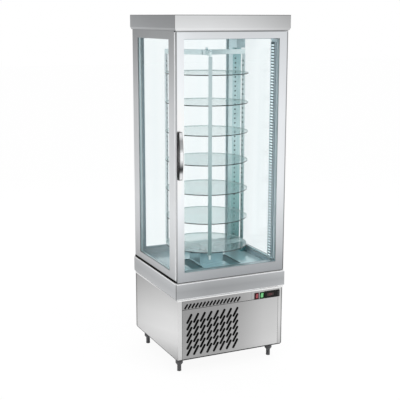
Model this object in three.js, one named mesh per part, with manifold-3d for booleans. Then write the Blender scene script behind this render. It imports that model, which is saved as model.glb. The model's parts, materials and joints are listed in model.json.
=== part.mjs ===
// Revolving refrigerated display cabinet: glazed tower on a machine base, with a carousel of glass shelves.
// Millimetres, +Z up, the front faces -Y, and the origin is on the floor in the middle of the footprint.
// Each builder function below returns one closed solid, and place() turns it into a named mesh.
import * as THREE from 'three';
import { mergeVertices } from 'three/addons/utils/BufferGeometryUtils.js';
import Module from 'manifold-3d';

const wasm = await Module();
wasm.setup();

// Overall size, as written on the photograph
const cabinetWidth = 670;
const cabinetDepth = 640;
const cabinetHeight = 1930;

// Heights of the storeys, from the floor up
const footHeight = 87;
const baseHeight = 353;
const collarHeight = 84;
const capHeight = 80;

// Fits, walls and facets that many pieces share
const seatGap = 0.3;
const cutOverrun = 5;
const joinOverlap = 1;
const sheet = 2;
const frameWall = 1.5;
const bigFacets = 48;
const roundFacets = 24;
const smallFacets = 12;
const slotFacets = 3;
const cornerFacets = 6;

// Outlines of the storeys
const towerInset = 10;
const collarProud = 6;
const collarLip = 8;
const collarLipWidth = 20;
const capLip = 12;
const capLipTaper = 6;
const capLipWidth = 23;
const halfWidth = cabinetWidth / 2 - towerInset;
const halfDepth = cabinetDepth / 2 - towerInset;
const collarBottom = footHeight + baseHeight;
const collarTop = collarBottom + collarHeight;
const capBottom = cabinetHeight - capHeight;

// Feet
const footStemRadius = 12;
const footFlangeRadius = 21;
const footSoleEdge = 1.5;
const footFlangeThickness = 6;
const footConeHeight = 20;
const footInsetX = 44;
const footInsetY = 77;

// Machine base: pan, side and rear panels, grille and fascia
const panLip = 6;
const panWallHeight = 28;
const panelCornerRadius = 6;
const panelFrontReturn = 28;
const panelRearReturn = 20;
const panelFold = 12;
const fasciaHeight = 57;
const grilleColumns = 8;
const grilleRows = 6;
const grillePitchX = 40;
const grillePitchZ = 36.9;
const grilleSlotWidth = 11.8;
const grilleSlotLength = 59;
const grilleSlotLean = THREE.MathUtils.degToRad(60.5);
const grilleLeft = 71.4;
const grilleDown = 53.4;
const ventCount = 16;
const ventPitch = 21.25;
const ventSlotWidth = 8.5;
const ventSlotLength = 31;
const ventSlotLean = THREE.MathUtils.degToRad(55);
const ventLeft = 52.2;
const ventUp = 17.6;
const louvreCount = 9;
const louvrePitch = 22;
const louvreWidth = 300;
const louvreHeight = 7;
const louvreUp = 70;
const louvreLeft = 70;

// Controls on the fascia
const switchWidth = 27;
const switchHeight = 36;
const switchBezel = 2.5;
const switchBodyDepth = 24;
const switchWall = 2;
const lightSwitchInset = 133.5;
const powerSwitchInset = 167;
const lightSwitchX = halfWidth - lightSwitchInset;
const powerSwitchX = halfWidth - powerSwitchInset;
const rockerProud = 3;
const rockerDepth = 9;
const rockerTilt = THREE.MathUtils.degToRad(7);
const rockerGap = 1;
const trunnionRadius = 1.2;
const trunnionReach = 1.5;
const controllerInset = 69;
const controllerX = halfWidth - controllerInset;
const controllerWidth = 94;
const controllerHeight = 38;
const controllerBezel = 3;
const controllerBoxShift = 5;
const controllerBoxX = controllerX - controllerBoxShift;
const controllerBoxWidth = 78;
const controllerProud = 5;
const controllerDepth = 52;
const controllerWindowWidth = 46;
const controllerWindowHeight = 20;
const controllerWindowDepth = 1;
const controllerWindowX = 12;
const controlRise = 20;
const keyWidth = 7;
const keyHeight = 5;
const keyProud = 0.9;
const keyDepth = 3;
const keyPitch = 8.5;
const keyX = 38;
const keyClearance = 0.35;
const keyWellSpare = 1.5;

// Power inlet on the rear panel
const inletWidth = 48;
const inletHeight = 30;
const inletFlange = 3;
const inletBodyWidth = 28;
const inletBodyHeight = 22;
const inletDepth = 26;
const inletRecess = 16;
const inletInset = 115;
const inletX = halfWidth - inletInset;
const inletUp = 60;
const inletPinWidth = 2;
const inletPinHeight = 5;
const inletPinPitch = 7;

// Tower frames, glass and seal
const frameDepth = 24;
const doorZone = 30;
const sealHeight = 5.7;
const frontStile = 71;
const rearStile = 79;
const rearFrameStile = 57;
const frameLip = 3;
const rebate = 9;
const bottomRail = 44.7;
const topRail = 43.7;
const drainHole = 6;
const unitThickness = 18;
const paneThickness = 4;
const spacerWidth = 10;
const breather = 3;
const frontFrameDepth = 34;
const frontFrameStile = 41;
const insideHalfX = halfWidth - frameDepth;
const frameFront = -halfDepth + doorZone;
const rearInside = halfDepth - frameDepth;
const frontInside = frameFront + frontFrameDepth;

// Door
const doorGapBottom = 6;
const doorGapTop = 6;
const doorThickness = 20;
const doorFlange = 5;
const doorRecess = 4;
const doorLeftStile = 43;
const doorRightStile = 51;
const doorTopRail = 35;
const doorBottomRail = 52;
const doorLip = 4;
const doorUnitThickness = 14;
const gasketWidth = 15;
const gasketStandoff = 0.5;
const pivotInsetX = 11;
const pivotInsetY = 10;
const pivotRadius = 4;
const pivotLength = 14;
const pivotPlate = 4;
const pivotPlateWidth = 22;
const pivotPlateDepth = 20;
const pivotBlock = 21;
const handleWidth = 25;
const handleBottom = 1088;
const handleLength = 252;
const handleEndReach = 14;
const handleReach = 30;
const handleStrap = 8;
const handlePad = 24;
const handleInset = 1;
const handleSteps = 14;

// Chamber floor, evaporator tub and air duct
const tubRim = 3;
const tubRimReach = 14;
const tubWall = 18;
const tubHeight = 80;
const floorRise = 16;
const carouselForward = 4;
const carouselY = (frontInside + rearInside) / 2 - carouselForward;
const pedestalHalf = 72.5;
const pedestalHeight = 64;
const floorVentNear = 82;
const floorVentWidth = 70;
const floorVentForward = 146;
const floorVentFront = carouselY - floorVentForward;
const floorVentLength = 205;
const ductWidth = 54;
const ductDepth = 50;
const ductRearGap = 54;
const ductRear = rearInside - ductRearGap;
const ductRight = insideHalfX - seatGap;
const ductHeadDepth = 100;
const ductHeadHeight = 92;
const ductFootWidth = 29;
const ductFootDepth = 90;
const ductFootHeight = 60;
const ductHoleRadius = 5;
const ductHolePitch = 27;
const ductHoleMargin = 90;
const ductHoleOffset = 18;
const ceilingDrop = 12;
const ledThickness = 8;
const ledFrontGap = 2;
const ledRearGap = 1;
const ledMargin = 15;
const ledChamfer = 3;

// Carousel
const carouselClearance = 8;
const ductCorner = Math.hypot(ductRight - ductWidth, ductRear - ductHeadDepth - carouselY);
const armReach = Math.min(insideHalfX, rearInside - carouselY, ductCorner) - carouselClearance;
const armOverhang = 7;
const uprightRadius = armReach - armOverhang;
const shelfInset = 23;
const shelfRadius = uprightRadius - shelfInset;
const shelfThickness = 6;
const shelfCount = 7;
const shelfPitch = 162;
const lowestShelf = 641;
const uprightCount = 3;
const uprightWidth = 20;
const uprightDepth = 9;
const uprightSheet = 1.5;
const uprightSlot = 11;
const uprightSlotPitch = 27;
const firstUprightAngle = THREE.MathUtils.degToRad(249);
const armWidth = 10;
const lowerArmHeight = 24;
const topArmHeight = 28;
const topArmBottom = 1714;
const lowerHubRadius = 40;
const topHubRadius = 28;
const topNutRadius = 7;
const topNutHeight = 12;
const hubLift = 8;
const clipWidth = 14;
const clipThickness = 3;
const clipGrip = 16;
const clipLip = 5;
const clipLipThickness = 2.5;
const shaftRadius = 8;
const shaftHoleRadius = 12;
const shaftDepth = 24;

// Gear motor in the pedestal
const gearboxHalfX = 50;
const gearboxHalfY = 40;
const gearboxHeight = 27;
const motorRadius = 30;
const motorLength = 70;
const motorOffset = 18;

// Condensing unit in the base
const condenserSideGap = 50;
const condenserLeft = -halfWidth + condenserSideGap;
const condenserWidth = 320;
const condenserThickness = 38;
const condenserStandoff = 8;
const condenserBottom = 10;
const condenserHeight = 270;
const finPitch = 12;
const finThickness = 3;
const finSpine = 8;
const condenserFanRadius = 106;
const condenserFanX = condenserLeft + condenserWidth / 2;
const fanTipClearance = 6;
const shroudRing = 34;
const shroudWall = 2;
const strutWidth = 8;
const strutDepth = 6;
const condenserMotorRadius = 30;
const condenserMotorLength = 56;
const fanHubRadius = 28;
const fanHubDepth = 24;
const bladeCount = 5;
const bladeChord = 50;
const bladeThickness = 2.5;
const bladePitch = THREE.MathUtils.degToRad(22);
const compressorX = 150;
const compressorY = 60;
const compressorRadius = 75;
const compressorHeight = 175;
const compressorStandoff = 8;
const compressorPlate = 4;
const compressorPlateX = 95;
const compressorPlateY = 80;
const compressorShoulder = 30;
const compressorCrownRadius = 40;
const compressorFootRadius = 12;
const pipeRadius = 5;
const pipeFacets = 8;
const pipeSteps = 24;
const pipeRise = 40;

// Evaporator unit in the tub
const coilSideGap = 18.7;
const coilMotorGap = 52;
const coilFrontGap = 23.7;
const coilRearGap = 53.7;
const evaporatorHeight = 58;
const evaporatorClearance = 2;
const deckThickness = 6;
const deckBeyondFan = 82;
const deckRearGap = 7.2;
const deckDepth = 125;
const fanFromCoil = 78;
const evaporatorFanRadius = 54;
const evaporatorHubRadius = 17;
const evaporatorMotorLength = 26;
const evaporatorChord = 26;
const deckRise = 45;
const suctionInset = 80;
const suctionHole = 12;

// Colours and finishes of the meshes, from the photograph
const finishes = {
  steel: { color: 0xc4c6c8, roughness: 0.35, metalness: 0.9 },
  darkSteel: { color: 0x8d9194, roughness: 0.4, metalness: 0.9 },
  glass: { color: 0xcfe6e6, roughness: 0.05, metalness: 0, transparent: true, opacity: 0.35 },
  shelfGlass: { color: 0xa9c6c3, roughness: 0.05, metalness: 0, transparent: true, opacity: 0.5 },
  rubber: { color: 0x1c1c1e, roughness: 0.8, metalness: 0 },
  plastic: { color: 0x242527, roughness: 0.5, metalness: 0 },
  insulation: { color: 0xd7dadb, roughness: 0.6, metalness: 0 },
  chrome: { color: 0xd9dadb, roughness: 0.15, metalness: 1 },
  copper: { color: 0xb87348, roughness: 0.35, metalness: 1 },
  fins: { color: 0xaeb4b8, roughness: 0.4, metalness: 0.8 },
  enamel: { color: 0x17181a, roughness: 0.4, metalness: 0.2 },
  redLens: { color: 0xa02030, roughness: 0.3, metalness: 0 },
  greenLens: { color: 0x2f9a3c, roughness: 0.3, metalness: 0 },
  diffuser: { color: 0xf2f7fa, roughness: 0.4, metalness: 0 },
  keyGrey: { color: 0x6a6d70, roughness: 0.5, metalness: 0 },
};

// Solids from three.js geometry

/** A closed three.js geometry as a manifold-3d solid. */
function solidOf(geometry) {
  const bare = geometry.clone();
  bare.deleteAttribute('normal');
  bare.deleteAttribute('uv');
  const merged = mergeVertices(bare);
  const vertProperties = new Float32Array(merged.attributes.position.array);
  const triVerts = new Uint32Array(merged.index.array);
  return new wasm.Manifold(new wasm.Mesh({ numProp: 3, vertProperties, triVerts }));
}

/** A manifold-3d solid as a three.js geometry. */
function geometryOf(solid) {
  const mesh = solid.getMesh();
  const geometry = new THREE.BufferGeometry();
  geometry.setAttribute('position', new THREE.BufferAttribute(mesh.vertProperties, 3));
  geometry.setIndex(new THREE.BufferAttribute(mesh.triVerts, 1));
  geometry.computeVertexNormals();
  return geometry;
}

/** A box between two limits on each axis. */
function block([x0, x1], [y0, y1], [z0, z1]) {
  const geometry = new THREE.BoxGeometry(x1 - x0, y1 - y0, z1 - z0);
  geometry.translate((x0 + x1) / 2, (y0 + y1) / 2, (z0 + z1) / 2);
  return solidOf(geometry);
}

/** A range about a middle. */
function about(middle, half) {
  return [middle - half, middle + half];
}

/** A range widened at both ends, or narrowed when the amount is negative. */
function widen([low, high], amount) {
  return [low - amount, high + amount];
}

/** A round bar along an axis ('x', 'y' or 'z'), between two limits on it, at two places across it. */
function bar(axis, radius, [low, high], [a, b], facets = roundFacets) {
  const geometry = new THREE.CylinderGeometry(radius, radius, high - low, facets);
  const middle = (low + high) / 2;
  if (axis === 'x') {
    geometry.rotateZ(Math.PI / 2);
    geometry.translate(middle, a, b);
  } else if (axis === 'y') {
    geometry.translate(a, middle, b);
  } else {
    geometry.rotateX(Math.PI / 2);
    geometry.translate(a, b, middle);
  }
  return solidOf(geometry);
}

/** A solid of revolution about a vertical line, from (radius, height) pairs that begin and end on it. */
function turned(profile, x, y, facets = roundFacets) {
  const points = profile.map(([radius, height]) => new THREE.Vector2(radius, height));
  const geometry = new THREE.LatheGeometry(points, facets);
  geometry.rotateX(Math.PI / 2);
  geometry.translate(x, y, 0);
  return solidOf(geometry);
}

/** An outline in X and Z, given thickness in +Y from the front face. */
function uprightSlab(shape, front, thickness) {
  const options = { depth: thickness, bevelEnabled: false, curveSegments: slotFacets };
  const geometry = new THREE.ExtrudeGeometry(shape, options);
  geometry.rotateX(Math.PI / 2);
  geometry.translate(0, front + thickness, 0);
  return solidOf(geometry);
}

/** An upright sheet with openings cut through it, all as outlines in X and Z. */
function uprightPlate(shape, openings, front) {
  const plate = uprightSlab(shape, front, sheet);
  const tools = openings.map((opening) => uprightSlab(opening, front - cutOverrun, sheet + 2 * cutOverrun));
  return cut(plate, ...tools);
}

/** An outline in X and Y, raised from one height to another. */
function raised(shape, [z0, z1]) {
  const options = { depth: z1 - z0, bevelEnabled: false, curveSegments: cornerFacets };
  const geometry = new THREE.ExtrudeGeometry(shape, options);
  geometry.translate(0, 0, z0);
  return solidOf(geometry);
}

/** A block whose lower end is narrowed by the same taper on all four sides. */
function taperedBlock([x0, x1], [y0, y1], [z0, z1], taper) {
  const geometry = new THREE.BoxGeometry(x1 - x0, y1 - y0, z1 - z0);
  const places = geometry.attributes.position;
  for (let i = 0; i < places.count; i += 1) {
    if (places.getZ(i) < 0) {
      places.setX(i, places.getX(i) - Math.sign(places.getX(i)) * taper);
      places.setY(i, places.getY(i) - Math.sign(places.getY(i)) * taper);
    }
  }
  geometry.translate((x0 + x1) / 2, (y0 + y1) / 2, (z0 + z1) / 2);
  return solidOf(geometry);
}

/** Joins solids that run into each other. */
function join(first, ...rest) {
  return rest.reduce((sum, solid) => sum.add(solid), first);
}

/** Cuts every tool out of a solid. */
function cut(solid, ...tools) {
  return tools.reduce((left, tool) => left.subtract(tool), solid);
}

/** A round-ended slot outline, leaning from the horizontal, about a middle in X and Z. */
function slotShape(x, z, width, length, lean) {
  const radius = width / 2;
  const run = length / 2 - radius;
  const dx = Math.cos(lean) * run;
  const dz = Math.sin(lean) * run;
  const slot = new THREE.Shape();
  slot.absarc(x + dx, z + dz, radius, lean - Math.PI / 2, lean + Math.PI / 2, false);
  slot.absarc(x - dx, z - dz, radius, lean + Math.PI / 2, lean + (3 * Math.PI) / 2, false);
  slot.closePath();
  return slot;
}

/** A rectangle outline. */
function rectangle([x0, x1], [z0, z1]) {
  const outline = new THREE.Shape();
  outline.moveTo(x0, z0);
  outline.lineTo(x1, z0);
  outline.lineTo(x1, z1);
  outline.lineTo(x0, z1);
  outline.closePath();
  return outline;
}

/** A tube along a smooth path through points. */
function pipe(points) {
  const section = new THREE.Shape();
  section.absarc(0, 0, pipeRadius, 0, 2 * Math.PI, false);
  const route = new THREE.CatmullRomCurve3(points.map(([x, y, z]) => new THREE.Vector3(x, y, z)));
  const options = {
    steps: pipeSteps,
    extrudePath: route,
    curveSegments: pipeFacets / 2,
    bevelEnabled: false,
  };
  return solidOf(new THREE.ExtrudeGeometry(section, options));
}

/** A comb of fins that stand on a spine, in X and Y: teeth point to +Y. */
function combShape([x0, x1], [y0, y1]) {
  const shape = new THREE.Shape();
  const count = Math.max(2, Math.round((x1 - x0) / finPitch));
  const step = (x1 - x0 - finThickness) / (count - 1);
  shape.moveTo(x0, y0);
  shape.lineTo(x1, y0);
  for (let i = count - 1; i >= 0; i -= 1) {
    const left = x0 + i * step;
    shape.lineTo(left + finThickness, y1);
    shape.lineTo(left, y1);
    if (i > 0) {
      shape.lineTo(left, y0 + finSpine);
      shape.lineTo(left - step + finThickness, y0 + finSpine);
    }
  }
  shape.closePath();
  return shape;
}

/** A fan rotor about +Z at the origin: a hub and pitched blades. */
function fanRotor(hubRadius, hubDepth, tipRadius, chord) {
  let rotor = bar('z', hubRadius, [0, hubDepth], [0, 0]);
  const length = tipRadius - hubRadius + joinOverlap;
  for (let i = 0; i < bladeCount; i += 1) {
    const blade = new THREE.BoxGeometry(length, chord, bladeThickness);
    blade.rotateX(bladePitch);
    blade.translate(hubRadius - joinOverlap + length / 2, 0, hubDepth / 2);
    blade.rotateZ((i * 2 * Math.PI) / bladeCount);
    rotor = rotor.add(solidOf(blade));
  }
  return rotor;
}

// Scene graph

const cabinet = new THREE.Group();

/** Adds a solid to a group as a named mesh with its own material. */
function place(name, solid, finish, parent = cabinet) {
  const mesh = new THREE.Mesh(geometryOf(solid), new THREE.MeshStandardMaterial(finishes[finish]));
  mesh.name = name;
  parent.add(mesh);
  return mesh;
}

// Feet and base

const footTop = footHeight - seatGap;
const footProfile = [
  [0, 0],
  [footStemRadius - footSoleEdge, 0],
  [footStemRadius, footSoleEdge],
  [footStemRadius, footTop - footFlangeThickness - footConeHeight],
  [footFlangeRadius, footTop - footFlangeThickness],
  [footFlangeRadius, footTop],
  [0, footTop],
];
const footX = halfWidth - footInsetX;
const footY = halfDepth - footInsetY;
const footPlaces = [
  ['foot_front_left', -footX, -footY],
  ['foot_front_right', footX, -footY],
  ['foot_rear_left', -footX, footY],
  ['foot_rear_right', footX, footY],
];
for (const [name, x, y] of footPlaces) {
  place(name, turned(footProfile, x, y), 'rubber');
}

const panelBottom = footHeight + panLip;
const lipBottom = collarBottom - collarLip;
const panelTop = lipBottom - seatGap;
const panHalfX = halfWidth - sheet - seatGap;
const panHalfY = halfDepth - sheet - seatGap;
const panTop = footHeight + panWallHeight;

/** Floor tray of the machine compartment. */
function basePan() {
  const outline = new THREE.Shape();
  outline.moveTo(-panHalfX, panHalfY);
  outline.lineTo(-panHalfX, -panHalfY + panelCornerRadius);
  outline.lineTo(-panHalfX + panelCornerRadius, -panHalfY);
  outline.lineTo(panHalfX - panelCornerRadius, -panHalfY);
  outline.lineTo(panHalfX, -panHalfY + panelCornerRadius);
  outline.lineTo(panHalfX, panHalfY);
  outline.closePath();
  const outer = raised(outline, [footHeight, panTop]);
  const hollow = block(
    about(0, panHalfX - panelCornerRadius),
    about(0, panHalfY - sheet),
    [footHeight + sheet, panTop + cutOverrun],
  );
  return cut(outer, hollow);
}
place('base_pan', basePan(), 'darkSteel');

/** Folded side panel: a rounded front corner with a return, and a return at the rear. */
function sidePanel(side) {
  const outer = new THREE.Shape();
  const x = side * halfWidth;
  const inward = -side;
  const frontReturnEnd = x + inward * panelFrontReturn;
  const rearReturnEnd = x + inward * panelRearReturn;
  const inner = x + inward * sheet;
  outer.moveTo(rearReturnEnd, halfDepth);
  outer.lineTo(x, halfDepth);
  outer.lineTo(x, -halfDepth + panelCornerRadius);
  outer.quadraticCurveTo(x, -halfDepth, x + inward * panelCornerRadius, -halfDepth);
  outer.lineTo(frontReturnEnd, -halfDepth);
  outer.lineTo(frontReturnEnd, -halfDepth + sheet);
  outer.lineTo(x + inward * panelCornerRadius, -halfDepth + sheet);
  outer.quadraticCurveTo(inner, -halfDepth + sheet, inner, -halfDepth + panelCornerRadius);
  outer.lineTo(inner, halfDepth - sheet);
  outer.lineTo(rearReturnEnd, halfDepth - sheet);
  outer.closePath();
  return raised(outer, [panelBottom, panelTop]);
}
place('left_side_panel', sidePanel(-1), 'steel');
place('right_side_panel', sidePanel(1), 'steel');

const frontPanelHalf = halfWidth - panelFrontReturn - seatGap;
const fasciaBottom = lipBottom - fasciaHeight;
const frontFace = -halfDepth;

/** Front grille panel: leaning slots in rows, and folded side edges. */
function frontGrille() {
  const top = fasciaBottom - seatGap;
  const slots = [];
  for (let column = 0; column < grilleColumns; column += 1) {
    for (let row = 0; row < grilleRows; row += 1) {
      const x = -halfWidth + grilleLeft + column * grillePitchX;
      const z = top - grilleDown - row * grillePitchZ;
      slots.push(slotShape(x, z, grilleSlotWidth, grilleSlotLength, grilleSlotLean));
    }
  }
  const folds = [-1, 1].map((side) => {
    const edge = side * frontPanelHalf;
    const inside = edge - side * sheet;
    const across = [Math.min(edge, inside), Math.max(edge, inside)];
    return block(across, [frontFace, frontFace + panelFold], [panTop + seatGap, top]);
  });
  const face = rectangle(about(0, frontPanelHalf), [panelBottom, top]);
  return join(uprightPlate(face, slots, frontFace), ...folds);
}
place('front_grille', frontGrille(), 'steel');

const controlZ = fasciaBottom + controlRise;
const switchCut = about(0, switchWidth / 2 - switchBezel);
const switchCutTall = about(controlZ, switchHeight / 2 - switchBezel);
const controllerCut = about(controllerBoxX, controllerBoxWidth / 2);
const controllerCutTall = about(controlZ, controllerHeight / 2 - controllerBezel);

/** Control fascia: small leaning vents on the left, and cut-outs for the switches and the controller. */
function controlFascia() {
  const openings = [rectangle(widen(controllerCut, seatGap), widen(controllerCutTall, seatGap))];
  for (let i = 0; i < ventCount; i += 1) {
    const x = -halfWidth + ventLeft + i * ventPitch;
    const z = fasciaBottom + ventUp;
    openings.push(slotShape(x, z, ventSlotWidth, ventSlotLength, ventSlotLean));
  }
  for (const x of [powerSwitchX, lightSwitchX]) {
    const wide = widen([x + switchCut[0], x + switchCut[1]], seatGap);
    openings.push(rectangle(wide, widen(switchCutTall, seatGap)));
  }
  const topFold = block(
    about(0, frontPanelHalf),
    [frontFace, frontFace + panelFold],
    [panelTop - sheet, panelTop],
  );
  const face = rectangle(about(0, frontPanelHalf), [fasciaBottom, panelTop]);
  return join(uprightPlate(face, openings, frontFace), topFold);
}
place('control_fascia', controlFascia(), 'steel');

const rearPanelHalf = halfWidth - panelRearReturn - seatGap;
const rearFace = halfDepth;
const inletZ = panelBottom + inletUp;

/** Rear panel of the base: louvres and a hole for the power inlet. */
function rearPanel() {
  const openings = [];
  for (let i = 0; i < louvreCount; i += 1) {
    const z = panelBottom + louvreUp + i * louvrePitch;
    const left = -rearPanelHalf + louvreLeft;
    openings.push(rectangle([left, left + louvreWidth], about(z, louvreHeight / 2)));
  }
  const holeX = about(inletX, inletBodyWidth / 2 + seatGap);
  const holeZ = about(inletZ, inletBodyHeight / 2 + seatGap);
  openings.push(rectangle(holeX, holeZ));
  const face = rectangle(about(0, rearPanelHalf), [panelBottom, panelTop]);
  return uprightPlate(face, openings, rearFace - sheet);
}
place('rear_panel', rearPanel(), 'steel');

/** Power inlet: flange outside the rear panel, body inside it, and three pins in a recess. */
function powerInlet() {
  const flangeFace = rearFace + seatGap;
  const flange = block(
    about(inletX, inletWidth / 2),
    [flangeFace, flangeFace + inletFlange],
    about(inletZ, inletHeight / 2),
  );
  const body = block(
    about(inletX, inletBodyWidth / 2),
    [rearFace - inletDepth, flangeFace + joinOverlap],
    about(inletZ, inletBodyHeight / 2),
  );
  const recess = block(
    about(inletX, inletBodyWidth / 2 - sheet),
    [flangeFace + inletFlange - inletRecess, flangeFace + inletFlange + cutOverrun],
    about(inletZ, inletBodyHeight / 2 - sheet),
  );
  const pins = [-1, 0, 1].map((step) => block(
    about(inletX + step * inletPinPitch, inletPinWidth / 2),
    [flangeFace + inletFlange - inletRecess - joinOverlap, flangeFace],
    about(inletZ, inletPinHeight / 2),
  ));
  return join(cut(join(flange, body), recess), ...pins);
}
place('power_inlet', powerInlet(), 'plastic');

// Controls

/** Rocker switch housing: a bezel on the fascia and an open-fronted box behind it. */
function switchBody(x) {
  const bezel = block(
    about(x, switchWidth / 2),
    [frontFace - seatGap - sheet, frontFace - seatGap],
    about(controlZ, switchHeight / 2),
  );
  const body = block(
    [x + switchCut[0], x + switchCut[1]],
    [frontFace - sheet, frontFace + switchBodyDepth],
    switchCutTall,
  );
  const well = block(
    widen([x + switchCut[0], x + switchCut[1]], -switchWall),
    [frontFace - cutOverrun, frontFace + switchBodyDepth - switchWall],
    widen(switchCutTall, -switchWall),
  );
  const trunnionHole = bar(
    'x',
    trunnionRadius + seatGap,
    widen([x + switchCut[0], x + switchCut[1]], cutOverrun),
    [frontFace, controlZ],
    smallFacets,
  );
  return cut(join(bezel, body), well, trunnionHole);
}
place('power_switch_body', switchBody(powerSwitchX), 'plastic');
place('light_switch_body', switchBody(lightSwitchX), 'plastic');

/** Rocker cap about its own pivot: a shallow block with a dished front and two trunnions. */
function rockerCap() {
  const halfX = switchWidth / 2 - switchBezel - switchWall - rockerGap;
  const halfZ = switchHeight / 2 - switchBezel - switchWall - rockerGap;
  const back = rockerProud - rockerDepth;
  const cap = new THREE.Shape();
  cap.moveTo(halfZ, back);
  cap.lineTo(halfZ, rockerProud);
  cap.lineTo(0, rockerProud / 2);
  cap.lineTo(-halfZ, rockerProud);
  cap.lineTo(-halfZ, back);
  cap.closePath();
  const geometry = new THREE.ExtrudeGeometry(cap, { depth: 2 * halfX, bevelEnabled: false });
  const basis = new THREE.Matrix4().makeBasis(
    new THREE.Vector3(0, 0, 1),
    new THREE.Vector3(0, -1, 0),
    new THREE.Vector3(1, 0, 0),
  );
  geometry.applyMatrix4(basis);
  geometry.translate(-halfX, 0, 0);
  const pinX = about(0, halfX + rockerGap + trunnionReach);
  const pin = bar('x', trunnionRadius, pinX, [0, 0], smallFacets);
  return join(solidOf(geometry), pin);
}
for (const [name, x, finish] of [
  ['power_rocker', powerSwitchX, 'redLens'],
  ['light_rocker', lightSwitchX, 'greenLens'],
]) {
  const rocker = place(name, rockerCap(), finish);
  rocker.position.set(x, frontFace, controlZ);
  rocker.rotation.x = rockerTilt;
}

const keyPlaces = [-1, 0, 1].map((step) => controlZ + step * keyPitch);

/** Temperature controller: front with a display recess and key wells, and its box behind the fascia. */
function controllerBody() {
  const face = frontFace - seatGap - controllerProud;
  const front = block(
    about(controllerX, controllerWidth / 2),
    [face, frontFace - seatGap],
    about(controlZ, controllerHeight / 2),
  );
  const boxY = [frontFace - joinOverlap, frontFace + controllerDepth];
  const box = block(controllerCut, boxY, controllerCutTall);
  const screen = block(
    about(controllerX - controllerWindowX, controllerWindowWidth / 2),
    [face - cutOverrun, face + controllerWindowDepth],
    about(controlZ, controllerWindowHeight / 2),
  );
  const wells = keyPlaces.map((z) => block(
    about(controllerX + keyX, keyWidth / 2 + keyClearance),
    [face - cutOverrun, face + keyDepth + keyWellSpare],
    about(z, keyHeight / 2 + keyClearance),
  ));
  return cut(join(front, box), screen, ...wells);
}
place('controller_body', controllerBody(), 'plastic');
['key_down', 'key_set', 'key_up'].forEach((name, i) => {
  const face = frontFace - seatGap - controllerProud;
  const key = block(
    about(controllerX + keyX, keyWidth / 2),
    [face - keyProud, face + keyDepth],
    about(keyPlaces[i], keyHeight / 2),
  );
  place(name, key, 'keyGrey');
});

// Collar, seal and cap

const collarHalfX = halfWidth + collarProud;
const collarHalfY = halfDepth + collarProud;
const chamberX = about(0, insideHalfX - seatGap);
const chamberY = [frontInside + seatGap, rearInside - seatGap];
const tubX = widen(chamberX, -tubRimReach);
const tubY = widen(chamberY, -tubRimReach);

/** Collar between the base and the tower: a hollow band with a sloping lower lip. */
function collar() {
  const band = block(about(0, collarHalfX), about(0, collarHalfY), [collarBottom, collarTop]);
  const lip = taperedBlock(
    about(0, collarHalfX),
    about(0, collarHalfY),
    [lipBottom, collarBottom],
    collarProud,
  );
  const hollow = block(
    about(0, collarHalfX - sheet),
    about(0, collarHalfY - sheet),
    [collarBottom + sheet, collarTop - sheet],
  );
  const underside = block(
    about(0, collarHalfX - collarLipWidth),
    about(0, collarHalfY - collarLipWidth),
    [lipBottom - cutOverrun, collarBottom + sheet + joinOverlap],
  );
  const mouth = block(
    widen(tubX, seatGap),
    widen(tubY, seatGap),
    [collarTop - sheet - joinOverlap, collarTop + cutOverrun],
  );
  return cut(join(band, lip), hollow, underside, mouth);
}
place('collar', collar(), 'steel');

/** Black seal on the collar, under the tower frames. */
function towerSeal() {
  const heights = [collarTop + seatGap, collarTop + sealHeight];
  const outer = block(about(0, halfWidth), [frameFront, halfDepth], heights);
  const inner = block(about(0, insideHalfX), [frontInside, rearInside], widen(heights, cutOverrun));
  return cut(outer, inner);
}
place('tower_seal', towerSeal(), 'rubber');

/** Top cap: a shell with a sloping lower lip, open below. */
function topCap() {
  const capX = about(0, cabinetWidth / 2);
  const capY = about(0, cabinetDepth / 2);
  const lipTop = capBottom + capLip;
  const crown = block(capX, capY, [lipTop, cabinetHeight]);
  const lip = taperedBlock(capX, capY, [capBottom, lipTop], capLipTaper);
  const hollow = block(widen(capX, -sheet), widen(capY, -sheet), [lipTop + sheet, cabinetHeight - sheet]);
  const mouth = block(
    widen(capX, -capLipWidth),
    widen(capY, -capLipWidth),
    [capBottom - cutOverrun, lipTop + sheet + joinOverlap],
  );
  return cut(join(crown, lip), hollow, mouth);
}
place('top_cap', topCap(), 'steel');

// Tower frames and glass

const frameBottom = collarTop + sealHeight + seatGap;
const frameTop = capBottom - seatGap;
const glassZ = [frameBottom + bottomRail, frameTop - topRail];

/** Tower frame: hollow box-section ring with a glass rebate, in limits across, in depth and in height. */
function frameRing(toBlock, across, [outside, inside], opening) {
  const toward = Math.sign(inside - outside);
  const depthRange = (a, b) => [Math.min(a, b), Math.max(a, b)];
  const heights = [frameBottom, frameTop];
  const body = toBlock(across, depthRange(outside, inside), heights);
  const through = toBlock(opening, widen(depthRange(outside, inside), cutOverrun), glassZ);
  const lipBack = outside + toward * frameLip;
  const seat = toBlock(
    widen(opening, rebate),
    depthRange(lipBack, inside + toward * cutOverrun),
    widen(glassZ, rebate),
  );
  const wallDepth = depthRange(outside + toward * frameWall, inside - toward * frameWall);
  const hollowOuter = toBlock(widen(across, -frameWall), wallDepth, widen(heights, -frameWall));
  const hollowInner = toBlock(
    widen(opening, rebate + frameWall),
    widen(wallDepth, cutOverrun),
    widen(glassZ, rebate + frameWall),
  );
  const middle = (outside + inside) / 2;
  const drains = across.map((end, i) => {
    const inset = end + (i === 0 ? 1 : -1) * frameDepth;
    return toBlock(
      about(inset, drainHole / 2),
      about(middle, drainHole / 2),
      [frameBottom - cutOverrun, frameBottom + frameWall + joinOverlap],
    );
  });
  return cut(body, through, seat, cut(hollowOuter, hollowInner), ...drains);
}

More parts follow.
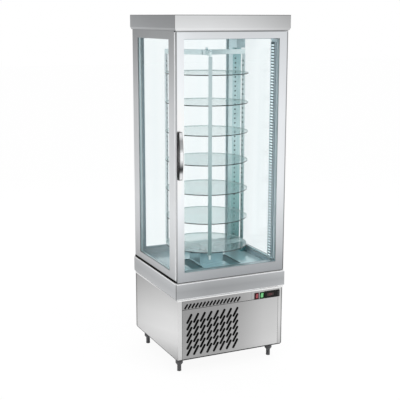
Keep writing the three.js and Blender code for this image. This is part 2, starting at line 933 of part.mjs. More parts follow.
/** Insulating glass unit: two panes and their spacer round a gap that breathes at the top. */
function glassUnit(toBlock, across, depths, heights) {
  const unit = toBlock(across, depths, heights);
  const gapInside = toBlock(
    widen(across, -spacerWidth),
    widen(depths, -paneThickness),
    widen(heights, -spacerWidth),
  );
  const middle = (depths[0] + depths[1]) / 2;
  const centre = (across[0] + across[1]) / 2;
  const vent = toBlock(
    about(centre, breather / 2),
    about(middle, breather / 2),
    [heights[1] - spacerWidth - joinOverlap, heights[1] + cutOverrun],
  );
  return cut(unit, gapInside, vent);
}

const sideways = (across, depths, heights) => block(depths, across, heights);
const lengthways = (across, depths, heights) => block(across, depths, heights);
const sideAcross = [frameFront, halfDepth];
const sideOpening = [frameFront + frontStile, halfDepth - rearStile];
const glassSeat = rebate - seatGap;

for (const [name, side] of [['left', -1], ['right', 1]]) {
  const outside = side * halfWidth;
  const inside = side * insideHalfX;
  place(`${name}_frame`, frameRing(sideways, sideAcross, [outside, inside], sideOpening), 'steel');
  const near = outside - side * (frameLip + seatGap);
  const far = near - side * unitThickness;
  const depths = [Math.min(near, far), Math.max(near, far)];
  const unit = glassUnit(sideways, widen(sideOpening, glassSeat), depths, widen(glassZ, glassSeat));
  place(`${name}_glass`, unit, 'glass');
}

const betweenFrames = about(0, insideHalfX - seatGap);
const rearOpening = about(0, halfWidth - rearFrameStile);
place(
  'rear_frame',
  frameRing(lengthways, betweenFrames, [halfDepth, rearInside], rearOpening),
  'steel',
);
const rearNear = halfDepth - frameLip - seatGap;
place(
  'rear_glass',
  glassUnit(
    lengthways,
    widen(rearOpening, glassSeat),
    [rearNear - unitThickness, rearNear],
    widen(glassZ, glassSeat),
  ),
  'glass',
);

const doorway = about(0, halfWidth - frontFrameStile);

/** Front frame behind the door: hollow posts, header and sill that the gasket meets. */
function frontFrame() {
  const heights = [frameBottom, frameTop];
  const depths = [frameFront, frontInside];
  const body = block(betweenFrames, depths, heights);
  const through = block(doorway, widen(depths, cutOverrun), glassZ);
  const hollowOuter = block(
    widen(betweenFrames, -frameWall),
    widen(depths, -frameWall),
    widen(heights, -frameWall),
  );
  const hollowInner = block(widen(doorway, frameWall), widen(depths, cutOverrun), widen(glassZ, frameWall));
  const drains = betweenFrames.map((end) => block(
    about(end - Math.sign(end) * frameDepth, drainHole / 2),
    about((depths[0] + depths[1]) / 2, drainHole / 2),
    [frameBottom - cutOverrun, frameBottom + frameWall + joinOverlap],
  ));
  return cut(body, through, cut(hollowOuter, hollowInner), ...drains);
}
place('front_frame', frontFrame(), 'steel');

/** Light bar on a front post: it covers the post's inner face and fills the corner behind the post. */
function ledBar(side) {
  const back = side * (doorway[1] - seatGap);
  const face = back - side * ledThickness;
  const deepBack = side * (insideHalfX - seatGap);
  const front = frameFront + ledFrontGap;
  const rear = sideOpening[0] - ledRearGap;
  const shape = new THREE.Shape();
  shape.moveTo(back, front);
  shape.lineTo(face + side * ledChamfer, front);
  shape.lineTo(face, front + ledChamfer);
  shape.lineTo(face, rear - ledChamfer);
  shape.lineTo(face + side * ledChamfer, rear);
  shape.lineTo(deepBack, rear);
  shape.lineTo(deepBack, frontInside + seatGap);
  shape.lineTo(back, frontInside + seatGap);
  shape.closePath();
  return raised(shape, widen(glassZ, -ledMargin));
}
place('led_bar_left', ledBar(-1), 'diffuser');
place('led_bar_right', ledBar(1), 'diffuser');

// Chamber floor, tub, duct and ceiling

const rimBottom = collarTop + seatGap;
const rimTop = rimBottom + tubRim;
const floorTop = collarTop + floorRise;
const tubBottom = rimTop - tubHeight;
const tubInsideX = widen(tubX, -tubWall);
const tubInsideY = widen(tubY, -tubWall);
const coilX = [tubInsideX[0] + coilSideGap, -motorOffset - motorRadius - coilMotorGap];
const coilY = [tubInsideY[0] + coilFrontGap, tubInsideY[1] - coilRearGap];
const suctionX = coilX[0] + suctionInset;
const suctionY = coilY[1] - suctionInset;

/** Insulated tub under the chamber floor, hung by its rim on the collar. */
function evaporatorTub() {
  const rim = block(chamberX, chamberY, [rimBottom, rimTop]);
  const body = block(tubX, tubY, [tubBottom, rimBottom + joinOverlap]);
  const hollow = block(tubInsideX, tubInsideY, [tubBottom + tubWall, rimTop + cutOverrun]);
  const holeZ = [tubBottom - cutOverrun, rimTop];
  const pipeHole = bar('z', suctionHole, holeZ, [suctionX, suctionY], smallFacets);
  return cut(join(rim, body), hollow, pipeHole);
}
place('evaporator_tub', evaporatorTub(), 'insulation');

const pedestalX = about(0, pedestalHalf);
const pedestalY = about(carouselY, pedestalHalf);
const pedestalTop = floorTop + pedestalHeight;
const ductX = [ductRight - ductWidth, ductRight];
const ductY = [ductRear - ductDepth, ductRear];

/** Chamber floor: pressed pan with the drive pedestal and its air openings. */
function chamberFloor() {
  const pan = cut(
    block(chamberX, chamberY, [rimTop + seatGap, floorTop]),
    block(widen(chamberX, -sheet), widen(chamberY, -sheet), [rimTop - cutOverrun, floorTop - sheet]),
  );
  const raisedBox = block(pedestalX, pedestalY, [floorTop - sheet, pedestalTop]);
  const boxHollow = block(
    widen(pedestalX, -sheet),
    widen(pedestalY, -sheet),
    [rimTop, pedestalTop - sheet],
  );
  const shaftHole = bar('z', shaftHoleRadius, [rimTop, pedestalTop + cutOverrun], [0, carouselY]);
  const ventY = [floorVentFront, floorVentFront + floorVentLength];
  const throughFloor = [rimTop, floorTop + cutOverrun];
  const vents = [
    [-floorVentNear - floorVentWidth, -floorVentNear],
    [floorVentNear, floorVentNear + floorVentWidth],
  ].map((ventX) => block(ventX, ventY, throughFloor));
  const ductHole = block(widen(ductX, -cutOverrun), widen(ductY, -cutOverrun), throughFloor);
  return cut(join(pan, raisedBox), boxHollow, shaftHole, ductHole, ...vents);
}
place('chamber_floor', chamberFloor(), 'steel');

const ceilingBottom = frameTop - ceilingDrop;

/** Air duct in the rear right corner: perforated column with a wider head and a low foot. */
function airDuct() {
  const heights = [floorTop + seatGap, ceilingBottom - seatGap];
  const headY = [ductRear - ductHeadDepth, ductRear];
  const headZ = [heights[1] - ductHeadHeight, heights[1]];
  const footX = [ductRight - ductFootWidth, ductRight];
  const footY = [ductY[0] - ductFootDepth, ductY[0] + joinOverlap];
  const footZ = [heights[0], heights[0] + ductFootHeight];
  const shell = join(block(ductX, ductY, heights), block(ductX, headY, headZ), block(footX, footY, footZ));
  const bore = block(
    widen(ductX, -frameWall),
    widen(ductY, -frameWall),
    [heights[0] - cutOverrun, heights[1] - frameWall],
  );
  const headBore = block(widen(ductX, -frameWall), widen(headY, -frameWall), widen(headZ, -frameWall));
  const footBore = block(
    widen(footX, -frameWall),
    [footY[0] + frameWall, footY[1] - frameWall],
    [heights[0] - cutOverrun, footZ[1] - frameWall],
  );
  let duct = cut(shell, bore, headBore, footBore);
  const holeX = ductX[0] + ductHoleOffset;
  for (let z = heights[0] + ductHoleMargin; z < headZ[0]; z += ductHolePitch) {
    const drill = [ductY[0] - cutOverrun, ductY[0] + frameWall + joinOverlap];
    duct = duct.subtract(bar('y', ductHoleRadius, drill, [holeX, z], pipeFacets));
  }
  return duct;
}
place('air_duct', airDuct(), 'darkSteel');

/** Ceiling panel: a tray that closes the chamber under the cap. */
function ceilingPanel() {
  const outer = block(chamberX, chamberY, [ceilingBottom, frameTop]);
  const hollow = block(
    widen(chamberX, -sheet),
    widen(chamberY, -sheet),
    [ceilingBottom + sheet, frameTop + cutOverrun],
  );
  return cut(outer, hollow);
}
place('ceiling_panel', ceilingPanel(), 'insulation');

// Door

const door = new THREE.Group();
cabinet.add(door);
const doorX = about(0, halfWidth);
const doorZ = [collarTop + doorGapBottom, capBottom - doorGapTop];
const doorFront = -halfDepth;
const doorBack = doorFront + doorThickness;
const doorGlassX = [doorX[0] + doorLeftStile, doorX[1] - doorRightStile];
const doorGlassZ = [doorZ[0] + doorBottomRail, doorZ[1] - doorTopRail];
const pivotX = doorX[1] - pivotInsetX;
const pivotY = doorFront + pivotInsetY;

/** Door frame: front flange, recessed hollow body, glass rebate and two pivot holes. */
function doorFrame() {
  const flange = block(doorX, [doorFront, doorFront + doorFlange], doorZ);
  const body = block(
    widen(doorX, -doorRecess),
    [doorFront + doorFlange - joinOverlap, doorBack],
    widen(doorZ, -doorRecess),
  );
  const through = block(doorGlassX, [doorFront - cutOverrun, doorBack + cutOverrun], doorGlassZ);
  const seat = block(
    widen(doorGlassX, rebate),
    [doorFront + doorLip, doorBack + cutOverrun],
    widen(doorGlassZ, rebate),
  );
  const inset = doorRecess + frameWall;
  const hollowDepth = [doorFront + frameWall, doorBack - frameWall];
  const hollowOuter = block(
    [doorX[0] + inset, doorX[1] - pivotBlock],
    hollowDepth,
    widen(doorZ, -inset),
  );
  const hollowInner = block(
    widen(doorGlassX, rebate + frameWall),
    widen(hollowDepth, cutOverrun),
    widen(doorGlassZ, rebate + frameWall),
  );
  const middle = (doorFront + doorBack) / 2;
  const drain = block(
    about(0, drainHole / 2),
    about(middle, drainHole / 2),
    [doorZ[0] - cutOverrun, doorZ[0] + inset + joinOverlap],
  );
  const holeRadius = pivotRadius + seatGap;
  const sockets = [
    [doorZ[0] - cutOverrun, doorZ[0] + pivotLength + joinOverlap],
    [doorZ[1] - pivotLength - joinOverlap, doorZ[1] + cutOverrun],
  ].map((range) => bar('z', holeRadius, range, [pivotX, pivotY], smallFacets));
  return cut(join(flange, body), through, seat, cut(hollowOuter, hollowInner), drain, ...sockets);
}
place('door_frame', doorFrame(), 'steel', door);

const doorUnitFront = doorFront + doorLip + seatGap;
place(
  'door_glass',
  glassUnit(
    lengthways,
    widen(doorGlassX, glassSeat),
    [doorUnitFront, doorUnitFront + doorUnitThickness],
    widen(doorGlassZ, glassSeat),
  ),
  'glass',
  door,
);

/** Magnetic gasket: a ring on the back of the door that meets the front frame. */
function doorGasket() {
  const depths = [doorBack + seatGap, frameFront - seatGap];
  const innerX = widen(doorGlassX, rebate + gasketStandoff);
  const innerZ = widen(doorGlassZ, rebate + gasketStandoff);
  const ring = block(widen(innerX, gasketWidth), depths, widen(innerZ, gasketWidth));
  return cut(ring, block(innerX, widen(depths, cutOverrun), innerZ));
}
place('door_gasket', doorGasket(), 'rubber', door);

/** Bow handle: a strap that rises from two end pads and leaves a finger gap behind it. */
function doorHandle() {
  const seat = doorFront - seatGap;
  const top = handleBottom + handleLength;
  const middle = handleBottom + handleLength / 2;
  const bow = (z, end, crest, half) => end + (crest - end) * (1 - ((z - middle) / half) ** 2);
  const outerHalf = handleLength / 2;
  const innerHalf = outerHalf - handlePad;
  const shape = new THREE.Shape();
  shape.moveTo(seat, handleBottom);
  for (let i = 0; i <= handleSteps; i += 1) {
    const z = handleBottom + (i * handleLength) / handleSteps;
    shape.lineTo(seat - bow(z, handleEndReach, handleReach - seatGap, outerHalf), z);
  }
  shape.lineTo(seat, top);
  for (let i = 0; i <= handleSteps; i += 1) {
    const z = middle + innerHalf - (i * 2 * innerHalf) / handleSteps;
    shape.lineTo(seat - bow(z, 0, handleReach - handleStrap, innerHalf), z);
  }
  shape.closePath();
  const geometry = new THREE.ExtrudeGeometry(shape, { depth: handleWidth, bevelEnabled: false });
  const basis = new THREE.Matrix4().makeBasis(
    new THREE.Vector3(0, 1, 0),
    new THREE.Vector3(0, 0, 1),
    new THREE.Vector3(1, 0, 0),
  );
  geometry.applyMatrix4(basis);
  geometry.translate(doorX[0] + handleInset, 0, 0);
  return solidOf(geometry);
}
place('door_handle', doorHandle(), 'chrome', door);

/** Pivot bracket: a plate on the collar or under the cap, with the pin that enters the door. */
function pivotBracket(plateZ, pinZ) {
  const plate = block(about(pivotX, pivotPlateWidth / 2), about(pivotY, pivotPlateDepth / 2), plateZ);
  return join(plate, bar('z', pivotRadius, pinZ, [pivotX, pivotY], smallFacets));
}
const lowPlate = [collarTop + seatGap, collarTop + seatGap + pivotPlate];
const highPlate = [capBottom - seatGap - pivotPlate, capBottom - seatGap];
place(
  'hinge_pivot_bottom',
  pivotBracket(lowPlate, [lowPlate[1] - joinOverlap, doorZ[0] + pivotLength]),
  'darkSteel',
);
place(
  'hinge_pivot_top',
  pivotBracket(highPlate, [doorZ[1] - pivotLength, highPlate[0] + joinOverlap]),
  'darkSteel',
);

// Carousel

const carousel = new THREE.Group();
carousel.position.set(0, carouselY, 0);
cabinet.add(carousel);
const uprightInner = uprightRadius - uprightDepth / 2;
const uprightOuter = uprightRadius + uprightDepth / 2;
const lowerArmTop = lowestShelf - clipThickness - 2 * seatGap - joinOverlap;
const lowerArmBottom = lowerArmTop - lowerArmHeight;
const uprightZ = [lowerArmTop + seatGap, topArmBottom - seatGap];
const shelfBottoms = Array.from({ length: shelfCount }, (_, i) => lowestShelf + i * shelfPitch);

/** Three radial arms about the axis. */
function armStar(heights) {
  const arms = [];
  for (let i = 0; i < uprightCount; i += 1) {
    const arm = new THREE.BoxGeometry(armReach, armWidth, heights[1] - heights[0]);
    arm.translate(armReach / 2, 0, (heights[0] + heights[1]) / 2);
    arm.rotateZ(firstUprightAngle + (i * 2 * Math.PI) / uprightCount);
    arms.push(solidOf(arm));
  }
  return arms;
}

const gearboxTop = pedestalTop - sheet - seatGap;
const shaftBottom = gearboxTop - shaftDepth;

/** Drive hub: shaft, hub plate and the lower arms that carry the uprights. */
function driveHub() {
  const arms = armStar([lowerArmBottom, lowerArmTop]);
  const hub = bar('z', lowerHubRadius, [lowerArmBottom - hubLift / 2, lowerArmTop], [0, 0]);
  const shaft = bar('z', shaftRadius, [shaftBottom, lowerArmBottom + joinOverlap], [0, 0]);
  return join(hub, shaft, ...arms);
}
place('drive_hub', driveHub(), 'darkSteel', carousel);

/** Top spider: three arms, a hub and a cap nut. */
function topSpider() {
  const heights = [topArmBottom, topArmBottom + topArmHeight];
  const hub = bar('z', topHubRadius, heights, [0, 0]);
  const nutZ = [heights[1] - joinOverlap, heights[1] + topNutHeight];
  const nut = bar('z', topNutRadius, nutZ, [0, 0], smallFacets);
  return join(hub, nut, ...armStar(heights));
}
place('top_spider', topSpider(), 'darkSteel', carousel);

/** Box-section upright with slots in its inner face and a clip under each shelf, out along +X. */
function upright() {
  const slots = [];
  const slotCount = Math.floor((uprightZ[1] - uprightZ[0] - uprightSlotPitch) / uprightSlotPitch);
  const slotAcross = about(0, uprightSlot / 2);
  const clipZones = shelfBottoms.map((z) => [z - clipThickness - seatGap, z + clipLip]);
  for (let i = 0; i <= slotCount; i += 1) {
    const z = uprightZ[0] + uprightSlotPitch / 2 + i * uprightSlotPitch;
    const slot = about(z, uprightSlot / 2);
    const [slotLow, slotHigh] = widen(slot, joinOverlap);
    const free = clipZones.every(([low, high]) => slotHigh < low || slotLow > high);
    if (free) {
      slots.push(block(widen([uprightInner, uprightInner + uprightSheet], joinOverlap), slotAcross, slot));
    }
  }
  const section = [uprightInner, uprightOuter];
  const tube = cut(
    block(section, about(0, uprightWidth / 2), uprightZ),
    block(
      widen(section, -uprightSheet),
      about(0, uprightWidth / 2 - uprightSheet),
      widen(uprightZ, cutOverrun),
    ),
  );
  const clips = shelfBottoms.flatMap((bottom) => {
    const under = [bottom - seatGap - clipThickness, bottom - seatGap];
    const tip = shelfRadius - clipGrip;
    const lipInner = shelfRadius + seatGap;
    return [
      block([tip, uprightInner + uprightSheet / 2], about(0, clipWidth / 2), under),
      block([lipInner, lipInner + clipLipThickness], about(0, clipWidth / 2), [under[0], bottom + clipLip]),
    ];
  });
  return join(cut(tube, ...slots), ...clips);
}
for (let i = 0; i < uprightCount; i += 1) {
  const mesh = place(`upright_${i + 1}`, upright(), 'darkSteel', carousel);
  mesh.rotation.z = firstUprightAngle + (i * 2 * Math.PI) / uprightCount;
}
shelfBottoms.forEach((bottom, i) => {
  const shelf = bar('z', shelfRadius, [bottom, bottom + shelfThickness], [0, 0], bigFacets);
  place(`shelf_${i + 1}`, shelf, 'shelfGlass', carousel);
});

// Gear motor

/** Gear motor: gearbox under the pedestal's top, with the shaft's bore, and the motor can below it. */
function gearMotor() {
  const gearbox = block(
    about(0, gearboxHalfX),
    about(carouselY, gearboxHalfY),
    [gearboxTop - gearboxHeight, gearboxTop],
  );
  const can = bar(
    'z',
    motorRadius,
    [gearboxTop - gearboxHeight - motorLength, gearboxTop - gearboxHeight + joinOverlap],
    [-motorOffset, carouselY],
  );
  const bore = bar(
    'z',
    shaftRadius + seatGap,
    [shaftBottom - seatGap, gearboxTop + cutOverrun],
    [0, carouselY],
  );
  return cut(join(gearbox, can), bore);
}
place('gear_motor', gearMotor(), 'enamel');

// Condensing unit

const panFloor = footHeight + sheet;
const condenserX = [condenserLeft, condenserLeft + condenserWidth];
const condenserZ = [panFloor + seatGap, panFloor + seatGap + condenserBottom + condenserHeight];
const condenserFront = frontFace + sheet + condenserStandoff;
const condenserY = [condenserFront, condenserFront + condenserThickness];
place('condenser_coil', raised(combShape(condenserX, condenserY), condenserZ), 'fins');

const fanZ = condenserZ[0] + condenserBottom + condenserHeight / 2;
const shroudFront = condenserY[1] + seatGap;
const shroudBack = shroudFront + shroudRing;

/** Fan shroud: a plate on the coil, a ring round the fan, and struts that hold the motor. */
function fanShroud() {
  const ringRadius = condenserFanRadius + fanTipClearance;
  const plate = block(condenserX, [shroudFront, shroudFront + shroudWall], condenserZ);
  const ringY = [shroudFront, shroudBack];
  const centre = [condenserFanX, fanZ];
  const ring = bar('y', ringRadius + shroudWall, ringY, centre, bigFacets);
  const bore = bar('y', ringRadius, widen(ringY, cutOverrun), centre, bigFacets);
  const strutY = [shroudBack - strutDepth, shroudBack];
  const struts = [
    block(about(condenserFanX, ringRadius + joinOverlap), strutY, about(fanZ, strutWidth / 2)),
    block(about(condenserFanX, strutWidth / 2), strutY, about(fanZ, ringRadius + joinOverlap)),
  ];
  const motor = bar('y', condenserMotorRadius, [strutY[0], strutY[0] + condenserMotorLength], centre);
  return join(cut(join(plate, ring), bore), ...struts, motor);
}
place('fan_shroud', fanShroud(), 'darkSteel');

const condenserFan = place(
  'condenser_fan',
  fanRotor(fanHubRadius, fanHubDepth, condenserFanRadius, bladeChord),
  'plastic',
);
condenserFan.rotation.x = Math.PI / 2;
condenserFan.position.set(condenserFanX, shroudBack - strutDepth - seatGap, fanZ);

/** Compressor: a drawn steel dome on its plate and feet, with the discharge pipe to the condenser. */
function compressor() {
  const plateZ = [panFloor + compressorStandoff, panFloor + compressorStandoff + compressorPlate];
  const top = plateZ[1] + compressorHeight;
  const profile = [
    [0, plateZ[1] - joinOverlap],
    [compressorRadius, plateZ[1] - joinOverlap],
    [compressorRadius, top - compressorShoulder],
    [compressorCrownRadius, top],
    [0, top],
  ];
  const plate = block(
    about(compressorX, compressorPlateX),
    about(compressorY, compressorPlateY),
    plateZ,
  );
  const feet = [-1, 1].flatMap((sx) => [-1, 1].map((sy) => bar(
    'z',
    compressorFootRadius,
    [panFloor + seatGap, plateZ[0] + joinOverlap],
    [
      compressorX + sx * (compressorPlateX - compressorFootRadius),
      compressorY + sy * (compressorPlateY - compressorFootRadius),
    ],
    smallFacets,
  )));
  const coilEnd = condenserX[1] + seatGap;
  const coilSpine = condenserY[0] + finSpine / 2;
  const high = top + pipeRise;
  const line = pipe([
    [compressorX, compressorY, top - joinOverlap],
    [compressorX, compressorY, high],
    [compressorX, coilSpine + 2 * pipeRise, high],
    [(compressorX + coilEnd) / 2, coilSpine, high],
    [coilEnd, coilSpine, high],
  ]);
  return join(turned(profile, compressorX, compressorY), plate, ...feet, line);
}
place('compressor', compressor(), 'enamel');

// Evaporator unit

const coilBottom = tubBottom + tubWall + seatGap;
const coilTop = coilBottom + evaporatorHeight;
const deckTop = coilBottom + deckRise;
const deckY = [tubInsideY[1] - deckRearGap - deckDepth, tubInsideY[1] - deckRearGap];
const evaporatorFanX = coilX[1] + fanFromCoil;
const evaporatorFanY = (deckY[0] + deckY[1]) / 2;

/** Evaporator unit: finned coil, suction line down to the compressor, and the fan deck with its motor. */
function evaporatorUnit() {
  const comb = combShape(coilY, [coilBottom, coilTop]);
  const coilGeometry = new THREE.ExtrudeGeometry(comb, { depth: coilX[1] - coilX[0], bevelEnabled: false });
  const basis = new THREE.Matrix4().makeBasis(
    new THREE.Vector3(0, 1, 0),
    new THREE.Vector3(0, 0, 1),
    new THREE.Vector3(1, 0, 0),
  );
  coilGeometry.applyMatrix4(basis);
  coilGeometry.translate(coilX[0], 0, 0);
  const endPlate = block([coilX[1] - sheet, coilX[1]], coilY, [coilBottom, coilTop]);
  const deckZ = [deckTop - deckThickness, deckTop];
  const deck = block([coilX[1] - joinOverlap, evaporatorFanX + deckBeyondFan], deckY, deckZ);
  const throat = evaporatorFanRadius + evaporatorClearance;
  const centre = [evaporatorFanX, evaporatorFanY];
  const hole = bar('z', throat, widen(deckZ, cutOverrun), centre);
  const strutZ = [deckZ[0], deckZ[0] + deckThickness / 2];
  const struts = [
    block(about(evaporatorFanX, throat + joinOverlap), about(evaporatorFanY, strutWidth / 2), strutZ),
    block(about(evaporatorFanX, strutWidth / 2), about(evaporatorFanY, throat + joinOverlap), strutZ),
  ];
  const motor = bar('z', evaporatorHubRadius, [strutZ[1] - evaporatorMotorLength, strutZ[1]], centre);
  const reach = compressorX - compressorRadius - seatGap;
  const suctionZ = panFloor + compressorStandoff + compressorHeight / 2;
  const line = pipe([
    [suctionX, suctionY, coilBottom + joinOverlap],
    [suctionX, suctionY, tubBottom - pipeRise],
    [suctionX + pipeRise, suctionY, suctionZ + pipeRise],
    [reach - 2 * pipeRise, compressorY, suctionZ],
    [reach, compressorY, suctionZ],
  ]);
  return join(solidOf(coilGeometry), endPlate, cut(deck, hole), ...struts, motor, line);
}
place('evaporator_unit', evaporatorUnit(), 'fins');

const evaporatorFan = place(
  'evaporator_fan',
  fanRotor(evaporatorHubRadius, fanHubDepth, evaporatorFanRadius, evaporatorChord),
  'plastic',
);
evaporatorFan.position.set(evaporatorFanX, evaporatorFanY, deckTop - deckThickness / 2 + seatGap);

// The handle reaches out past the cap, so the cabinet moves back until the part is centred on the origin
const handleFront = doorFront - handleReach;
const capFront = -cabinetDepth / 2;
cabinet.position.y = (capFront - handleFront) / 2;

const part = new THREE.Group();
part.add(cabinet);

export default part;
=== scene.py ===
"""Looks of the revolving glass display cabinet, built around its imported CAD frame. All lengths are in metres."""

import json
import logging
import math
from dataclasses import dataclass
from enum import Enum, IntEnum
from typing import Callable, Iterable, Optional, Sequence, Union

import bmesh
import bpy
from mathutils import Matrix, Vector


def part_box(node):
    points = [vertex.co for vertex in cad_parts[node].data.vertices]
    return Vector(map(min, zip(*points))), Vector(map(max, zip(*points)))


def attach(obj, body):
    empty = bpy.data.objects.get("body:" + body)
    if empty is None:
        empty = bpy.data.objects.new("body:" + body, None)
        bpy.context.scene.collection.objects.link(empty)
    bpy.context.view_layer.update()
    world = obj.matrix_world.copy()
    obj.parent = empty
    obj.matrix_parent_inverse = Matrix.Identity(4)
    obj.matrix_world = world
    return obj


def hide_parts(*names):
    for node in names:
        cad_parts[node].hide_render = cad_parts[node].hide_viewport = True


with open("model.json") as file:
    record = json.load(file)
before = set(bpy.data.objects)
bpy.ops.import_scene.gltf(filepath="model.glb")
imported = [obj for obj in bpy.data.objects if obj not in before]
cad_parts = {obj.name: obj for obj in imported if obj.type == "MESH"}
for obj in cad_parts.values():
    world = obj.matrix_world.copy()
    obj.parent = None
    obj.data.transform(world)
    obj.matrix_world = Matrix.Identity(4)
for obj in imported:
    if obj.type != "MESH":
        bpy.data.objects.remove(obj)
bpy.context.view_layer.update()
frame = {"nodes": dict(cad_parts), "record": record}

LOG = logging.getLogger("cabinet")
SMOOTH_ANGLE = math.radians(32)
FLAT_ANGLE = math.radians(0.5)
MERGE_DISTANCE = 1e-5
CUT_DISTANCE = 1e-6
# How strong each octave of a noise is beside the coarser one.
FINER_OCTAVES = 0.55
# A Mix node has several sockets of the same name, so these are their indices.
MIX_FACTOR, MIX_VALUE_A, MIX_VALUE_B, MIX_VALUE = 0, 2, 3, 0
MIX_COLOUR_A, MIX_COLOUR_B, MIX_COLOUR = 6, 7, 2
# How much of a face's normal has to lie along a direction for the face to count as facing it.
PARTLY_FACING = 0.3
FACING = 0.5
BROADLY_FACING = 0.7
LEVEL_WITH = 0.9
SQUARE_TO = 0.999
Colour = tuple[float, float, float]
Span = tuple[float, float]
Socket = bpy.types.NodeSocket
Shape = bmesh.types.BMesh
Face = bmesh.types.BMFace
Paint = Callable[[Face], int]


class Axis(Enum):
    """An axis of the CAD frame, by its index."""

    X = 0
    Y = 1
    Z = 2


class Rider(Enum):
    """The CAD bodies that new pieces ride on."""

    CABINET = "cabinet"
    DOOR = "door"
    CAROUSEL = "carousel"


class Slot(Enum):
    """The record's material slots, passed along with new pieces."""

    STAINLESS = "stainless"
    DARK_STEEL = "dark_steel"
    GLASS = "glass"
    SHELF_GLASS = "shelf_glass"
    RUBBER = "rubber"
    FOOT = "foot_grey"
    BLACK_PLASTIC = "black_plastic"
    RED_LENS = "red_lens"
    DIFFUSER = "diffuser"


@dataclass(frozen=True)
class PaintedSheen:
    """Painted light and shade drifting along a direction: (place in metres, linear colour) pairs, from low to
    high.
    """

    direction: tuple[float, float, float]
    stops: tuple[tuple[float, Colour], ...]


